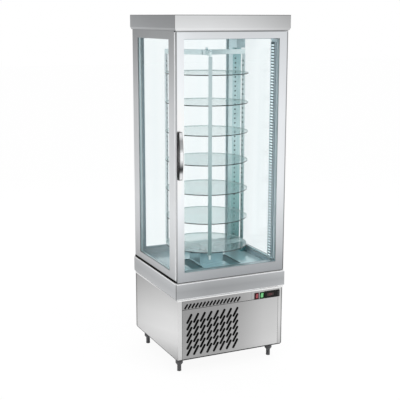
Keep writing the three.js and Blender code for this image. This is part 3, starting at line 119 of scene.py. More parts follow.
class Graph:
    """The node tree of a material or of the world, with short calls for the nodes that they share."""

    def __init__(
        self, owner: Union[bpy.types.Material, bpy.types.World], output: str = "ShaderNodeOutputMaterial"
    ) -> None:
        """Empties the tree and gives it an output node.

        Args:
            owner: the material or world that has the tree.
            output: the output node's Blender type.
        """
        owner.use_nodes = True
        self.tree = owner.node_tree
        self.tree.nodes.clear()
        self.output = self.node(output)

    def node(self, kind: str, **settings: object) -> bpy.types.Node:
        """Adds a node.

        Args:
            kind: the node's Blender type.
            **settings: properties to set on it.

        Returns:
            The new node.
        """
        made = self.tree.nodes.new(kind)
        for key, value in settings.items():
            setattr(made, key, value)
        return made

    def link(self, source: Socket, target: Socket) -> None:
        """Joins an output socket to an input socket."""
        self.tree.links.new(source, target)

    def placed(self, scale: Sequence[float]) -> Socket:
        """Object coordinates, scaled.

        Args:
            scale: repeats per metre along each axis.

        Returns:
            The vector socket.
        """
        source = self.node("ShaderNodeTexCoord")
        mapping = self.node("ShaderNodeMapping")
        mapping.inputs["Scale"].default_value = scale
        self.link(source.outputs["Object"], mapping.inputs["Vector"])
        return mapping.outputs["Vector"]

    def noise(self, vector: Socket, detail: float) -> Socket:
        """A noise value from 0 to 1.

        Args:
            vector: where to read the noise.
            detail: octaves.

        Returns:
            The value socket.
        """
        made = self.node("ShaderNodeTexNoise")
        made.inputs["Scale"].default_value = 1.0
        made.inputs["Detail"].default_value = detail
        made.inputs["Roughness"].default_value = FINER_OCTAVES
        self.link(vector, made.inputs["Vector"])
        return made.outputs["Fac"]

    def remap(self, value: Socket, into: Span, out_of: Span = (0.3, 0.7)) -> Socket:
        """Maps a value from one range to another, clamped.

        Args:
            value: the value socket.
            into: the range to give.
            out_of: the range to read.

        Returns:
            The mapped socket.
        """
        made = self.node("ShaderNodeMapRange")
        made.inputs["From Min"].default_value, made.inputs["From Max"].default_value = out_of
        made.inputs["To Min"].default_value, made.inputs["To Max"].default_value = into
        self.link(value, made.inputs["Value"])
        return made.outputs["Result"]

    def blend(self, value: Socket, low: Colour, high: Colour) -> Socket:
        """A colour between two, by a value.

        Args:
            value: 0 for the first colour and 1 for the second.
            low: the first colour, linear.
            high: the second colour, linear.

        Returns:
            The colour socket.
        """
        made = self.node("ShaderNodeMix", data_type="RGBA")
        made.inputs[MIX_COLOUR_A].default_value = (*low, 1)
        made.inputs[MIX_COLOUR_B].default_value = (*high, 1)
        self.link(value, made.inputs[MIX_FACTOR])
        return made.outputs[MIX_COLOUR]

    def ramp(self, sheen: PaintedSheen) -> Socket:
        """A colour that follows a drift of painted light and shade.

        Args:
            sheen: the drift.

        Returns:
            The colour socket.
        """
        source = self.node("ShaderNodeTexCoord")
        along = self.node("ShaderNodeVectorMath", operation="DOT_PRODUCT")
        along.inputs[1].default_value = sheen.direction
        self.link(source.outputs["Object"], along.inputs[0])
        low, high = sheen.stops[0][0], sheen.stops[-1][0]
        share = self.remap(along.outputs["Value"], (0, 1), (low, high))
        made = self.node("ShaderNodeValToRGB")
        elements = made.color_ramp.elements
        while len(elements) < len(sheen.stops):
            elements.new(0.5)
        for element, (place, colour) in zip(elements, sheen.stops):
            element.position = (place - low) / (high - low)
            element.color = (*colour, 1)
        self.link(share, made.inputs["Fac"])
        return made.outputs["Color"]

    def times(self, first: Socket, second: Socket) -> Socket:
        """One colour multiplied by another.

        Args:
            first: the first colour socket.
            second: the second colour socket.

        Returns:
            The colour socket.
        """
        made = self.node("ShaderNodeMix", data_type="RGBA", blend_type="MULTIPLY")
        made.inputs[MIX_FACTOR].default_value = 1
        self.link(first, made.inputs[MIX_COLOUR_A])
        self.link(second, made.inputs[MIX_COLOUR_B])
        return made.outputs[MIX_COLOUR]

    def drifted(self, colour: Socket, *sheens: Optional[PaintedSheen]) -> Socket:
        """A colour multiplied by each drift of painted light and shade that there is.

        Args:
            colour: the colour socket.
            *sheens: the drifts, or None for each that a finish lacks.

        Returns:
            The colour socket.
        """
        for sheen in sheens:
            if sheen:
                colour = self.times(colour, self.ramp(sheen))
        return colour

    def average(self, first: Socket, second: Socket, share: float) -> Socket:
        """Two values mixed by a fixed share of the second.

        Args:
            first: the first value socket.
            second: the second value socket.
            share: how much of the second there is, from 0 to 1.

        Returns:
            The value socket.
        """
        made = self.node("ShaderNodeMix", data_type="FLOAT")
        made.inputs[MIX_FACTOR].default_value = share
        self.link(first, made.inputs[MIX_VALUE_A])
        self.link(second, made.inputs[MIX_VALUE_B])
        return made.outputs[MIX_VALUE]

    def seen(self) -> Socket:
        """A value of 1 for what the camera sees, straight or in gloss and glass, and 0 for light on surfaces.

        Returns:
            The value socket.
        """
        path = self.node("ShaderNodeLightPath")
        value = path.outputs["Is Camera Ray"]
        for other in ("Is Glossy Ray", "Is Transmission Ray"):
            either = self.node("ShaderNodeMath", operation="MAXIMUM")
            self.link(value, either.inputs[0])
            self.link(path.outputs[other], either.inputs[1])
            value = either.outputs["Value"]
        return value

    def layered(self, share: Socket, below: Socket, above: Socket) -> Socket:
        """One shader mixed over another.

        Args:
            share: how much of the upper shader shows, from 0 to 1.
            below: the lower shader.
            above: the upper shader.

        Returns:
            The shader socket.
        """
        made = self.node("ShaderNodeMixShader")
        for source, target in zip((share, below, above), made.inputs):
            self.link(source, target)
        return made.outputs["Shader"]

    def surface(self, shader: Socket) -> None:
        """Puts a shader on the output."""
        self.link(shader, self.output.inputs["Surface"])

    def bump(self, height: Socket, strength: float, distance: float) -> Socket:
        """A normal that a height disturbs.

        Args:
            height: the height socket.
            strength: from 0 to 1.
            distance: the height of the relief.

        Returns:
            The normal socket.
        """
        made = self.node("ShaderNodeBump")
        made.inputs["Strength"].default_value = strength
        made.inputs["Distance"].default_value = distance
        self.link(height, made.inputs["Height"])
        return made.outputs["Normal"]

    def principled(self, roughness: float, metallic: float = 0.0, specular: float = 0.5) -> bpy.types.Node:
        """A Principled shader on the output.

        Args:
            roughness: the surface's roughness.
            metallic: 1 for bare metal.
            specular: the strength of the reflection of what isn't metal.

        Returns:
            The shader node.
        """
        made = self.node("ShaderNodeBsdfPrincipled")
        made.inputs["Roughness"].default_value = roughness
        made.inputs["Metallic"].default_value = metallic
        made.inputs["Specular IOR Level"].default_value = specular
        self.surface(made.outputs["BSDF"])
        return made


def linear(share: float) -> float:
    """A linear value from a display value, both from 0 to 1, by the sRGB curve."""
    return share / 12.92 if share <= 0.04045 else ((share + 0.055) / 1.055) ** 2.4


def display(red: float, green: Optional[float] = None, blue: Optional[float] = None) -> Colour:
    """A linear colour from the levels, 0 to 255, that a display would show.

    Args:
        red: the red level, or the grey level when it is given alone.
        green: the green level.
        blue: the blue level.

    Returns:
        The linear colour.
    """
    levels = (red, red if green is None else green, red if blue is None else blue)
    return tuple(linear(level / 255) for level in levels)


ALONG_X = (1.0, 0.0, 0.0)
ALONG_Y = (0.0, 1.0, 0.0)
ALONG_Z = (0.0, 0.0, 1.0)
LEANING = (0.0, 0.2, 1.0)


def greys(direction: tuple[float, float, float], *stops: Span, cool: float = 2) -> PaintedSheen:
    """A drift of painted light and shade, in greys.

    Args:
        direction: the direction it runs along.
        *stops: (place, display level) pairs.
        cool: how much higher the green level is, and twice that for the blue.

    Returns:
        The drift.
    """
    return PaintedSheen(direction, tuple((at, display(level, level + cool, level + 2 * cool)) for at, level in stops))


def shades(direction: tuple[float, float, float], *stops: tuple[float, float, float, float]) -> PaintedSheen:
    """A drift of painted light and shade in colours, as (place, red, green, blue) with display levels."""
    return PaintedSheen(direction, tuple((at, display(*levels)) for at, *levels in stops))


def shares(direction: tuple[float, float, float], *stops: Span) -> PaintedSheen:
    """A drift of painted light and shade, as (place, multiplier) pairs of plain multipliers."""
    return PaintedSheen(direction, tuple((at, (share, share, share)) for at, share in stops))


@dataclass(frozen=True)
class Finish:
    """A finish that makes its material once."""

    name: str

    def material(self) -> bpy.types.Material:
        """The finish's material, made on first use.

        Returns:
            The material.
        """
        label = f"{self.name}_finish"
        made = bpy.data.materials.get(label)
        if made is None:
            made = bpy.data.materials.new(label)
            self.make(Graph(made))
        return made

    def make(self, graph: Graph) -> None:
        """Builds the finish in an empty graph."""
        raise NotImplementedError


@dataclass(frozen=True)
class BrushedMetal(Finish):
    """Sheet metal brushed along one axis: fine lines, soft clouds of tone and a directional gloss."""

    dark: Colour
    light: Colour
    grain: Axis = Axis.X
    roughness: float = 0.3
    line_pitch: float = 0.0012
    line_length: float = 0.14
    cloud: float = 0.35
    relief: float = 0.00004
    metallic: float = 1.0
    # rise and run are painted light and shade, as drifts of tone along a direction.
    rise: Optional[PaintedSheen] = None
    run: Optional[PaintedSheen] = None
    cloud_stretch: float = 3
    cloud_share: float = 0.55
    gloss_spread: Span = (-0.05, 0.07)
    relief_share: float = 0.35

    def make(self, graph: Graph) -> None:
        """Builds the brushed lines, the clouds, the painted drift of light and shade, and the relief.

        Args:
            graph: the material's empty graph.
        """
        lines = [1 / self.line_pitch] * 3
        lines[self.grain.value] = 1 / self.line_length
        clouds = [1 / self.cloud] * 3
        clouds[self.grain.value] = 1 / (self.cloud_stretch * self.cloud)
        fine = graph.noise(graph.placed(lines), detail=2.0)
        broad = graph.noise(graph.placed(clouds), detail=2.0)
        tone = graph.remap(graph.average(fine, broad, self.cloud_share), (0, 1))
        shader = graph.principled(self.roughness, self.metallic)
        colour = graph.drifted(graph.blend(tone, self.dark, self.light), self.rise, self.run)
        graph.link(colour, shader.inputs["Base Color"])
        span = (self.roughness + self.gloss_spread[0], self.roughness + self.gloss_spread[1])
        graph.link(graph.remap(fine, span), shader.inputs["Roughness"])
        graph.link(graph.bump(fine, self.relief_share, self.relief), shader.inputs["Normal"])


@dataclass(frozen=True)
class Moulded(Finish):
    """Moulded plastic or rubber with a fine pebble grain and uneven gloss."""

    dark: Colour
    light: Colour
    roughness: float = 0.45
    pebble: float = 0.0006
    relief: float = 0.00006
    specular: float = 0.5
    cloud_pebbles: float = 60
    cloud_share: float = 0.6
    gloss_spread: Span = (-0.08, 0.1)
    relief_share: float = 0.4

    def make(self, graph: Graph) -> None:
        """Builds the pebble grain and the clouds of gloss.

        Args:
            graph: the material's empty graph.
        """
        grain = graph.noise(graph.placed([1 / self.pebble] * 3), detail=2.0)
        broad = graph.noise(graph.placed([1 / (self.cloud_pebbles * self.pebble)] * 3), detail=3.0)
        tone = graph.average(grain, broad, self.cloud_share)
        shader = graph.principled(self.roughness, 0.0, self.specular)
        graph.link(graph.blend(graph.remap(tone, (0, 1)), self.dark, self.light), shader.inputs["Base Color"])
        span = (self.roughness + self.gloss_spread[0], self.roughness + self.gloss_spread[1])
        graph.link(graph.remap(broad, span), shader.inputs["Roughness"])
        graph.link(graph.bump(grain, self.relief_share, self.relief), shader.inputs["Normal"])


@dataclass(frozen=True)
class Polished(Finish):
    """Plated or lacquered surface: smooth, with faint smears."""

    dark: Colour
    light: Colour
    roughness: float = 0.1
    metallic: float = 1.0
    smear: float = 0.05
    # rise and run are painted light and reflection, as drifts of tone along a direction.
    rise: Optional[PaintedSheen] = None
    run: Optional[PaintedSheen] = None
    gloss_range: Span = (0.6, 1.7)

    def make(self, graph: Graph) -> None:
        """Builds the smears in colour and gloss, and the painted drift of light and reflection.

        Args:
            graph: the material's empty graph.
        """
        smear = graph.noise(graph.placed([1 / self.smear] * 3), detail=4.0)
        shader = graph.principled(self.roughness, self.metallic)
        colour = graph.drifted(graph.blend(graph.remap(smear, (0, 1)), self.dark, self.light), self.rise, self.run)
        graph.link(colour, shader.inputs["Base Color"])
        span = (self.gloss_range[0] * self.roughness, self.gloss_range[1] * self.roughness)
        graph.link(graph.remap(smear, span), shader.inputs["Roughness"])


@dataclass(frozen=True)
class GroundRim(Finish):
    """Ground edge of a glass disc: its outer side is dark, and its inner side, seen through the glass, is pale."""

    dark: Colour
    pale: Colour
    roughness: float = 0.2
    marks_per_metre: tuple[float, float, float] = (700, 700, 90)
    mark_depth: float = 0.00004
    mark_share: float = 0.3
    mark_shade: Colour = (0.7, 0.7, 0.7)

    def make(self, graph: Graph) -> None:
        """Builds the two tones and the fine grinding marks.

        Args:
            graph: the material's empty graph.
        """
        marks = graph.noise(graph.placed(self.marks_per_metre), detail=2.0)
        shader = graph.principled(self.roughness, 0.0)
        side = graph.node("ShaderNodeNewGeometry")
        tone = graph.blend(side.outputs["Backfacing"], self.dark, self.pale)
        shade = graph.blend(graph.remap(marks, (0, 1)), self.mark_shade, (1.0, 1.0, 1.0))
        graph.link(graph.times(tone, shade), shader.inputs["Base Color"])
        graph.link(graph.bump(marks, self.mark_share, self.mark_depth), shader.inputs["Normal"])


@dataclass(frozen=True)
class ClearSheet(Finish):
    """Thin clear glass: it tints what is behind it, with a gloss that grows towards grazing angles."""

    dark_tint: Colour
    light_tint: Colour
    gloss: Span = (0.02, 0.45)
    roughness: float = 0.02
    band: float = 0.05
    haze: Colour = (0.8, 0.9, 0.9)
    haze_share: float = 0.0
    bands_per_metre_of_height: float = 0.6
    haze_range: Span = (0.6, 1.4)
    haze_roughness: float = 0.3
    edge_blend: float = 0.25

    def make(self, graph: Graph) -> None:
        """Builds the tint in soft upright bands, the haze, the gloss and the clear path for lamps.

        Args:
            graph: the material's empty graph.
        """
        pitch = [1 / self.band, 1 / self.band, self.bands_per_metre_of_height]
        bands = graph.noise(graph.placed(pitch), detail=3.0)
        tint = graph.blend(graph.remap(bands, (0, 1)), self.dark_tint, self.light_tint)
        clear = graph.node("ShaderNodeBsdfTransparent")
        graph.link(tint, clear.inputs["Color"])
        body = clear.outputs["BSDF"]
        if self.haze_share > 0:
            veil = graph.node("ShaderNodeBsdfPrincipled")
            veil.inputs["Base Color"].default_value = (*self.haze, 1)
            veil.inputs["Roughness"].default_value = self.haze_roughness
            span = (self.haze_range[0] * self.haze_share, self.haze_range[1] * self.haze_share)
            body = graph.layered(graph.remap(bands, span), body, veil.outputs["BSDF"])
        shine = graph.node("ShaderNodeBsdfGlossy")
        shine.inputs["Roughness"].default_value = self.roughness
        grazing = graph.node("ShaderNodeLayerWeight")
        grazing.inputs["Blend"].default_value = self.edge_blend
        gloss = graph.remap(grazing.outputs["Facing"], self.gloss, (0.0, 1.0))
        both = graph.layered(gloss, body, shine.outputs["BSDF"])
        path = graph.node("ShaderNodeLightPath")
        lamp = graph.node("ShaderNodeBsdfTransparent")
        lamp.inputs["Color"].default_value = (*self.light_tint, 1)
        graph.surface(graph.layered(path.outputs["Is Shadow Ray"], both, lamp.outputs["BSDF"]))


@dataclass(frozen=True)
class Lamp(Finish):
    """A glowing chip or lens: its own colour plus light of that colour."""

    colour: Colour
    strength: float = 1.0
    roughness: float = 0.3
    mottles_per_metre: float = 900
    dimmed: float = 0.8

    def make(self, graph: Graph) -> None:
        """Builds the lens with a faint mottle and its glow.

        Args:
            graph: the material's empty graph.
        """
        mottle = graph.noise(graph.placed([self.mottles_per_metre] * 3), detail=1.0)
        dim = tuple(self.dimmed * channel for channel in self.colour)
        shader = graph.principled(self.roughness)
        colour = graph.blend(graph.remap(mottle, (0, 1)), dim, self.colour)
        graph.link(colour, shader.inputs["Base Color"])
        graph.link(colour, shader.inputs["Emission Color"])
        shader.inputs["Emission Strength"].default_value = self.strength


BRUSH_DARK: Colour = (0.91, 0.91, 0.91)
BRUSH_LIGHT: Colour = (1.0, 1.0, 1.0)


def steel(
    name: str,
    grain: Axis,
    rise: PaintedSheen,
    run: Optional[PaintedSheen] = None,
    roughness: float = 0.34,
    metallic: float = 1.0,
) -> BrushedMetal:
    """Brushed stainless steel with painted light and shade: its tone drifts.

    Args:
        name: the finish's name.
        grain: the direction of the brushing.
        rise: the drift of its painted light and shade.
        run: a second drift of painted light and shade, as multipliers.
        roughness: the surface's roughness.
        metallic: how much of its shine is that of bare metal.

    Returns:
        The finish.
    """
    return BrushedMetal(name, BRUSH_DARK, BRUSH_LIGHT, grain, roughness, metallic=metallic, rise=rise, run=run)


# Painted light and shade on the tower: lighter at about mid-height, darker towards the bottom and the top.
TOWER_PAINTED_LIGHT = greys(
    ALONG_Z, (0.54, 180), (0.72, 213), (0.9, 226), (1.2, 214), (1.45, 200), (1.7, 168), (1.83, 148)
)
# Painted shade on the tower: darker towards the rear.
TOWER_PAINTED_FALLOFF = shares(ALONG_Y, (-0.27, 1.02), (0.0, 0.98), (0.31, 0.86))
# Painted light and shade on the door: darker towards the bottom, lightest in its upper middle.
DOOR_PAINTED_LIGHT = greys(
    ALONG_Z, (0.53, 166), (0.58, 177), (0.67, 201), (0.9, 233), (1.05, 244), (1.4, 247), (1.6, 238),
    (1.84, 224), cool=3
)
# Painted light and shade on the base's front returns: lighter at about a third of the height, darker at both ends.
RETURN_PAINTED_LIGHT = greys(ALONG_Z, (0.093, 206), (0.12, 218), (0.24, 231), (0.34, 224), (0.431, 213), cool=0)

# Painted light and shade: a thin bright line low on the front, darker upwards, a dark line at the top edge, and
# darker towards the right.
CAP_FRONT = steel(
    "stainless_cap_front",
    Axis.X,
    greys(ALONG_Z, (1.85, 232), (1.862, 236), (1.863, 228), (1.9, 219), (1.9262, 214), (1.928, 112), cool=1),
    shares(ALONG_X, (-0.335, 1.06), (-0.15, 1.04), (0.0, 0.97), (0.15, 0.86), (0.335, 0.68)),
)
# Painted light and shade: the side darker than the front, a bright line low down, dark lines at the top and front
# edges, lighter towards the rear.
CAP_SIDE = steel(
    "stainless_cap_side",
    Axis.Y,
    greys(ALONG_Z, (1.85, 156), (1.862, 174), (1.864, 148), (1.9, 142), (1.9262, 138), (1.928, 94)),
    shares(ALONG_Y, (-0.31, 0.4), (-0.303, 0.93), (0.0, 0.97), (0.33, 1.12)),
)
# Both carry the tower's painted light and shade along the height and towards the rear.
TOWER_STILE = steel("stainless_tower_upright", Axis.Z, TOWER_PAINTED_LIGHT, TOWER_PAINTED_FALLOFF)
TOWER_RAIL = steel("stainless_tower_rail", Axis.Y, TOWER_PAINTED_LIGHT, TOWER_PAINTED_FALLOFF)
# Painted light and shade: dark lines along both upright edges, a bright band beside the left edge, and the door's
# painted light along its height.
DOOR_STEEL = steel(
    "stainless_door",
    Axis.Z,
    DOOR_PAINTED_LIGHT,
    shares(
        ALONG_X, (-0.325, 0.16), (-0.3232, 0.2), (-0.3215, 1.16), (-0.22, 1.05), (0.0, 0.98), (0.3185, 0.97),
        (0.3205, 0.36), (0.325, 0.26)
    ),
)
# The door's left edge carries the tower's painted light and shade along the height.
DOOR_EDGE = steel("stainless_door_edge", Axis.Z, TOWER_PAINTED_LIGHT)
# Painted shade: the cap's return grows darker towards the right.
CAP_RETURN = steel(
    "stainless_cap_return",
    Axis.X,
    greys(ALONG_X, (-0.325, 172), (0.0, 158), (0.325, 146), cool=1),
    roughness=0.4,
)
# Painted light and shade: a broad highlight band that leans lower towards the rear, darker towards the rear, and a
# dark line at the rear edge.
BASE_SIDE = steel(
    "stainless_base_side",
    Axis.Y,
    greys(
        LEANING, (0.02, 150), (0.06, 190), (0.13, 222), (0.19, 230), (0.28, 222), (0.4, 196), (0.48, 176),
        cool=0
    ),
    shares(
        ALONG_Y, (-0.32, 1.03), (-0.15, 1.02), (0.0, 0.98), (0.15, 0.93), (0.298, 0.84), (0.305, 0.36),
        (0.32, 0.3)
    ),
)
# Painted light and shade: lighter at about a third of the height, darker towards the right, and a dark line at the
# right edge.
BASE_RETURN = steel(
    "stainless_base_return",
    Axis.Z,
    RETURN_PAINTED_LIGHT,
    shares(ALONG_X, (-0.325, 1.0), (0.0, 0.92), (0.3155, 0.88), (0.3175, 0.2), (0.325, 0.14)),
)
# Painted shade and light: darker on the left half, growing lighter towards the right.
BASE_FRONT = steel(
    "stainless_base_front",
    Axis.X,
    greys(ALONG_Z, (0.093, 204), (0.12, 207), (0.24, 200), (0.373, 192), (0.376, 190), (0.431, 192), cool=0),
    shares(ALONG_X, (-0.297, 0.66), (-0.05, 0.67), (0.06, 0.78), (0.13, 0.91), (0.2, 1.04), (0.3, 1.13)),
)
# Painted light and shade: bright highlight lines along the bottom and top edges, a darker middle, lighter towards
# both ends.
COLLAR_FRONT = steel(
    "stainless_collar_front",
    Axis.X,
    greys(
        ALONG_Z, (0.432, 255), (0.4395, 255), (0.4415, 176), (0.48, 168), (0.515, 182), (0.519, 186),
        (0.5205, 236)
    ),
    shares(ALONG_X, (-0.331, 1.07), (-0.15, 0.92), (0.0, 0.93), (0.15, 1.0), (0.331, 1.12)),
)
# Painted light and shade: bright highlight lines along the bottom and top edges, a dark line at the front corner,
# darker towards the rear.
COLLAR_SIDE = steel(
    "stainless_collar_side",
    Axis.Y,
    greys(ALONG_Z, (0.432, 244), (0.4375, 234), (0.441, 184), (0.48, 176), (0.518, 186), (0.52, 238)),
    shares(ALONG_Y, (-0.306, 0.3), (-0.297, 0.38), (-0.292, 1.08), (0.1, 0.98), (0.326, 0.88)),
)
# Painted highlight: the flange's front is near white, a bright line above the fascia.
FLANGE_FRONT_HIGHLIGHT = steel(
    "collar_flange_front_highlight",
    Axis.X,
    greys(ALONG_X, (-0.33, 252), (0.0, 248), (0.33, 255), cool=0),
)
# Painted highlight: the flange's sides are pale, growing lighter towards the rear.
FLANGE_SIDE_HIGHLIGHT = steel(
    "collar_flange_side_highlight",
    Axis.Y,
    greys(ALONG_Y, (-0.3, 202), (-0.08, 206), (0.1, 232), (0.32, 244), cool=0),
)
COLLAR_TOP = BrushedMetal(
    "stainless_collar_top",
    display(214),
    display(232),
    Axis.X,
    roughness=0.5,
    metallic=0.0,
)
REAR_STEEL = BrushedMetal("stainless_rear", display(176), display(200), Axis.X)
PLAIN_STEEL = BrushedMetal("stainless_plain", display(170), display(205), Axis.Z)
# Painted shade: slot walls and the rims round the slots are near black, for the dark inside the slots.
SLOT_SHADE = BrushedMetal(
    "slot_shade",
    (0.01, 0.01, 0.01),
    (0.02, 0.02, 0.02),
    Axis.X,
    roughness=0.6,
    metallic=0.0,
)
# Painted shade and light: darker towards the left, lighter towards the right.
CHAMBER_STEEL = BrushedMetal(
    "chamber_steel",
    (0.8, 0.8, 0.8),
    (1.0, 1.0, 1.0),
    Axis.X,
    roughness=0.16,
    line_pitch=0.004,
    metallic=0.5,
    rise=shades(
        ALONG_X, (-0.3, 158, 178, 184), (-0.1, 176, 206, 212), (0.1, 188, 218, 224), (0.3, 206, 232, 236)
    ),
)
GUARD_STEEL = BrushedMetal(
    "guard_steel",
    display(66, 102, 108),
    display(92, 130, 136),
    Axis.X,
    roughness=0.4,
    metallic=0.3,
)
# Painted shade and light: darker towards the left, lighter towards the right.
REAR_JAMB = steel(
    "rear_jamb",
    Axis.Z,
    shades(ALONG_X, (-0.26, 132, 150, 158), (0.0, 190, 206, 210), (0.26, 236, 246, 248)),
    roughness=0.4,
    metallic=0.2,
)
JAMB_STEEL = BrushedMetal("jamb_steel", display(140, 154, 160), display(176, 188, 194), Axis.Z, roughness=0.36)
# Painted shade and light: darker towards the bottom, lightest near the top.
CARRIER_STEEL = steel(
    "carrier_steel",
    Axis.Z,
    shades(
        ALONG_Z, (0.61, 112, 140, 140), (0.9, 150, 176, 177), (1.2, 190, 207, 208), (1.5, 205, 218, 219),
        (1.72, 196, 210, 212)
    ),
)
# A lit copy of the carrier steel, painted lighter, for the left rear upright.
LIT_CARRIER_STEEL = steel(
    "lit_carrier_steel",
    Axis.Z,
    shades(ALONG_Z, (0.61, 184, 198, 200), (0.9, 222, 232, 233), (1.4, 226, 235, 237), (1.72, 208, 217, 220)),
)
# Painted shade: the inside of an upright's box section and its slot walls, kept dark.
CARRIER_INSIDE_SHADE = BrushedMetal(
    "carrier_inside_shade",
    display(46, 70, 74),
    display(70, 96, 100),
    Axis.Z,
    roughness=0.5,
)
# The spider's steel is painted light; faces that look down take the darker copy below.
SPIDER_STEEL = BrushedMetal(
    "spider_steel",
    display(206, 222, 224),
    display(236, 246, 246),
    Axis.X,
    roughness=0.34,
)
# Painted shade: a darker copy of the spider's steel for the faces that look down.
SPIDER_UNDERSIDE_SHADE = BrushedMetal(
    "spider_underside_shade",
    display(120, 140, 142),
    display(150, 170, 172),
    Axis.X,
    roughness=0.4,
)
# Painted shade and light: darker towards the bottom, lightest at about mid-height, a little darker at the top.
DUCT_SIDE = BrushedMetal(
    "duct_side",
    (0.88, 0.88, 0.88),
    (1.0, 1.0, 1.0),
    Axis.Z,
    roughness=0.34,
    rise=shades(
        ALONG_Z, (0.6, 110, 146, 148), (0.9, 146, 184, 184), (1.15, 226, 242, 243), (1.5, 218, 233, 234),
        (1.75, 196, 216, 220)
    ),
)
# Painted shade and light: darker towards the bottom, lightest at about mid-height, darker again near the top.
DUCT_FRONT = BrushedMetal(
    "duct_front",
    (0.62, 0.7, 0.7),
    (1.0, 1.0, 1.0),
    Axis.Z,
    roughness=0.34,
    line_pitch=0.006,
    cloud=0.05,
    rise=shades(
        ALONG_Z, (0.6, 108, 150, 150), (0.75, 134, 174, 174), (0.95, 168, 206, 205), (1.15, 214, 236, 237),
        (1.55, 206, 228, 230), (1.68, 168, 202, 205), (1.74, 158, 192, 196)
    ),
)
DUCT_HEAD = BrushedMetal(
    "duct_head",
    display(146, 166, 170),
    display(188, 206, 210),
    Axis.Z,
    roughness=0.36,
    cloud=0.04,
)
DUCT_FOOT = BrushedMetal(
    "duct_foot",
    display(40, 116, 120),
    display(96, 160, 166),
    Axis.Z,
    roughness=0.36,
    cloud=0.04,
)
# Painted shade: the duct's inside is darker than its outside.
DUCT_INSIDE_SHADE = BrushedMetal("duct_inside_shade", display(60, 92, 96), display(90, 120, 124), Axis.Z, roughness=0.5)
ZINC_SHEET = BrushedMetal(
    "zinc_sheet",
    (0.34, 0.35, 0.36),
    (0.52, 0.53, 0.54),
    Axis.X,
    roughness=0.45,
    line_pitch=0.02,
)
# Painted shade: near-black sheet for the base's pan, the panels' insides and the fan shroud, where it is dark.
PAINTED_SHADE_SHEET = BrushedMetal(
    "painted_shade_sheet",
    (0.03, 0.03, 0.032),
    (0.07, 0.07, 0.075),
    Axis.X,
    roughness=0.5,
    line_pitch=0.02,
)
FIN_STOCK = BrushedMetal("fin_stock", (0.2, 0.27, 0.28), (0.32, 0.4, 0.41), Axis.Z, roughness=0.4)
# The coil's black paint is its own colour, and it is kept near black as painted shade behind the grille's slots.
BLACK_COIL = BrushedMetal(
    "black_coil",
    (0.006, 0.006, 0.007),
    (0.02, 0.02, 0.022),
    Axis.Z,
    roughness=0.5,
    metallic=0.0,
)
BLACK_MOULDING = Moulded(
    "black_moulding",
    (0.003, 0.003, 0.003),
    (0.008, 0.008, 0.008),
    roughness=0.5,
    specular=0.18,
)
GASKET_LIP = Moulded("gasket_lip", (0.72, 0.73, 0.74), (0.82, 0.83, 0.84), roughness=0.6, relief=0.0001)
PLATE_EDGE = BrushedMetal("plate_edge", display(88), display(112), Axis.X, roughness=0.4)
# The filter foam is near black: its own colour, and painted shade for the dark behind the slots.
FILTER_FOAM = Moulded(
    "filter_foam",
    (0.0015, 0.0015, 0.0015),
    (0.004, 0.004, 0.004),
    roughness=0.9,
    pebble=0.002,
    relief=0.0006,
    specular=0.05,
)
SEAL_RUBBER = Moulded(
    "seal_rubber",
    (0.002, 0.002, 0.002),
    (0.005, 0.005, 0.005),
    roughness=0.8,
    relief=0.0001,
    specular=0.1,
)
GASKET_RUBBER = Moulded("gasket_rubber", (0.3, 0.31, 0.32), (0.4, 0.41, 0.42), roughness=0.65, relief=0.0001)
FOOT_MOULDING = Moulded("foot_moulding", (0.045, 0.045, 0.048), (0.085, 0.085, 0.09), roughness=0.5)
KEY_MOULDING = Moulded("key_moulding", (0.025, 0.027, 0.03), (0.05, 0.053, 0.057), roughness=0.5)
TUB_SKIN = Moulded("tub_skin", (0.08, 0.13, 0.14), (0.13, 0.19, 0.2), roughness=0.55, pebble=0.003)
# Painted reflections: bright and dark bands up the chrome's height, and darker towards both its side edges.
HANDLE_CHROME = Polished(
    "bow_chrome",
    (0.94, 0.94, 0.94),
    (1.0, 1.0, 1.0),
    roughness=0.16,
    rise=greys(
        ALONG_Z, (1.088, 150), (1.096, 236), (1.122, 226), (1.134, 120), (1.147, 56), (1.158, 100),
        (1.178, 196), (1.198, 252), (1.232, 252), (1.256, 176), (1.296, 160), (1.322, 232), (1.336, 220),
        (1.34, 120), cool=1
    ),
    run=shares(ALONG_X, (-0.321, 0.45), (-0.3175, 0.72), (-0.3125, 1.0), (-0.3025, 1.0), (-0.3, 0.5)),
)
BLACK_ENAMEL = Polished(
    "black_enamel",
    (0.008, 0.008, 0.009),
    (0.02, 0.02, 0.022),
    roughness=0.25,
    metallic=0.0,
)
PANE = ClearSheet("pane_glass", (0.985, 0.995, 0.997), (0.993, 0.999, 1.0), gloss=(0.002, 0.1))
SHELF_FACE = ClearSheet(
    "shelf_glass_face",
    (0.86, 0.93, 0.925),
    (0.93, 0.968, 0.964),
    gloss=(0.02, 0.4),
    roughness=0.03,
    band=0.12,
    haze=(0.5, 0.6, 0.62),
    haze_share=0.16,
)
UPPER_SHELF_FACE = ClearSheet(
    "upper_shelf_glass_face",
    (0.92, 0.962, 0.958),
    (0.96, 0.985, 0.982),
    gloss=(0.01, 0.3),
    roughness=0.03,
    band=0.12,
    haze=(0.57, 0.66, 0.68),
    haze_share=0.08,
)
SHELF_RIM = GroundRim("shelf_glass_rim", display(6, 26, 28), display(196, 214, 212))
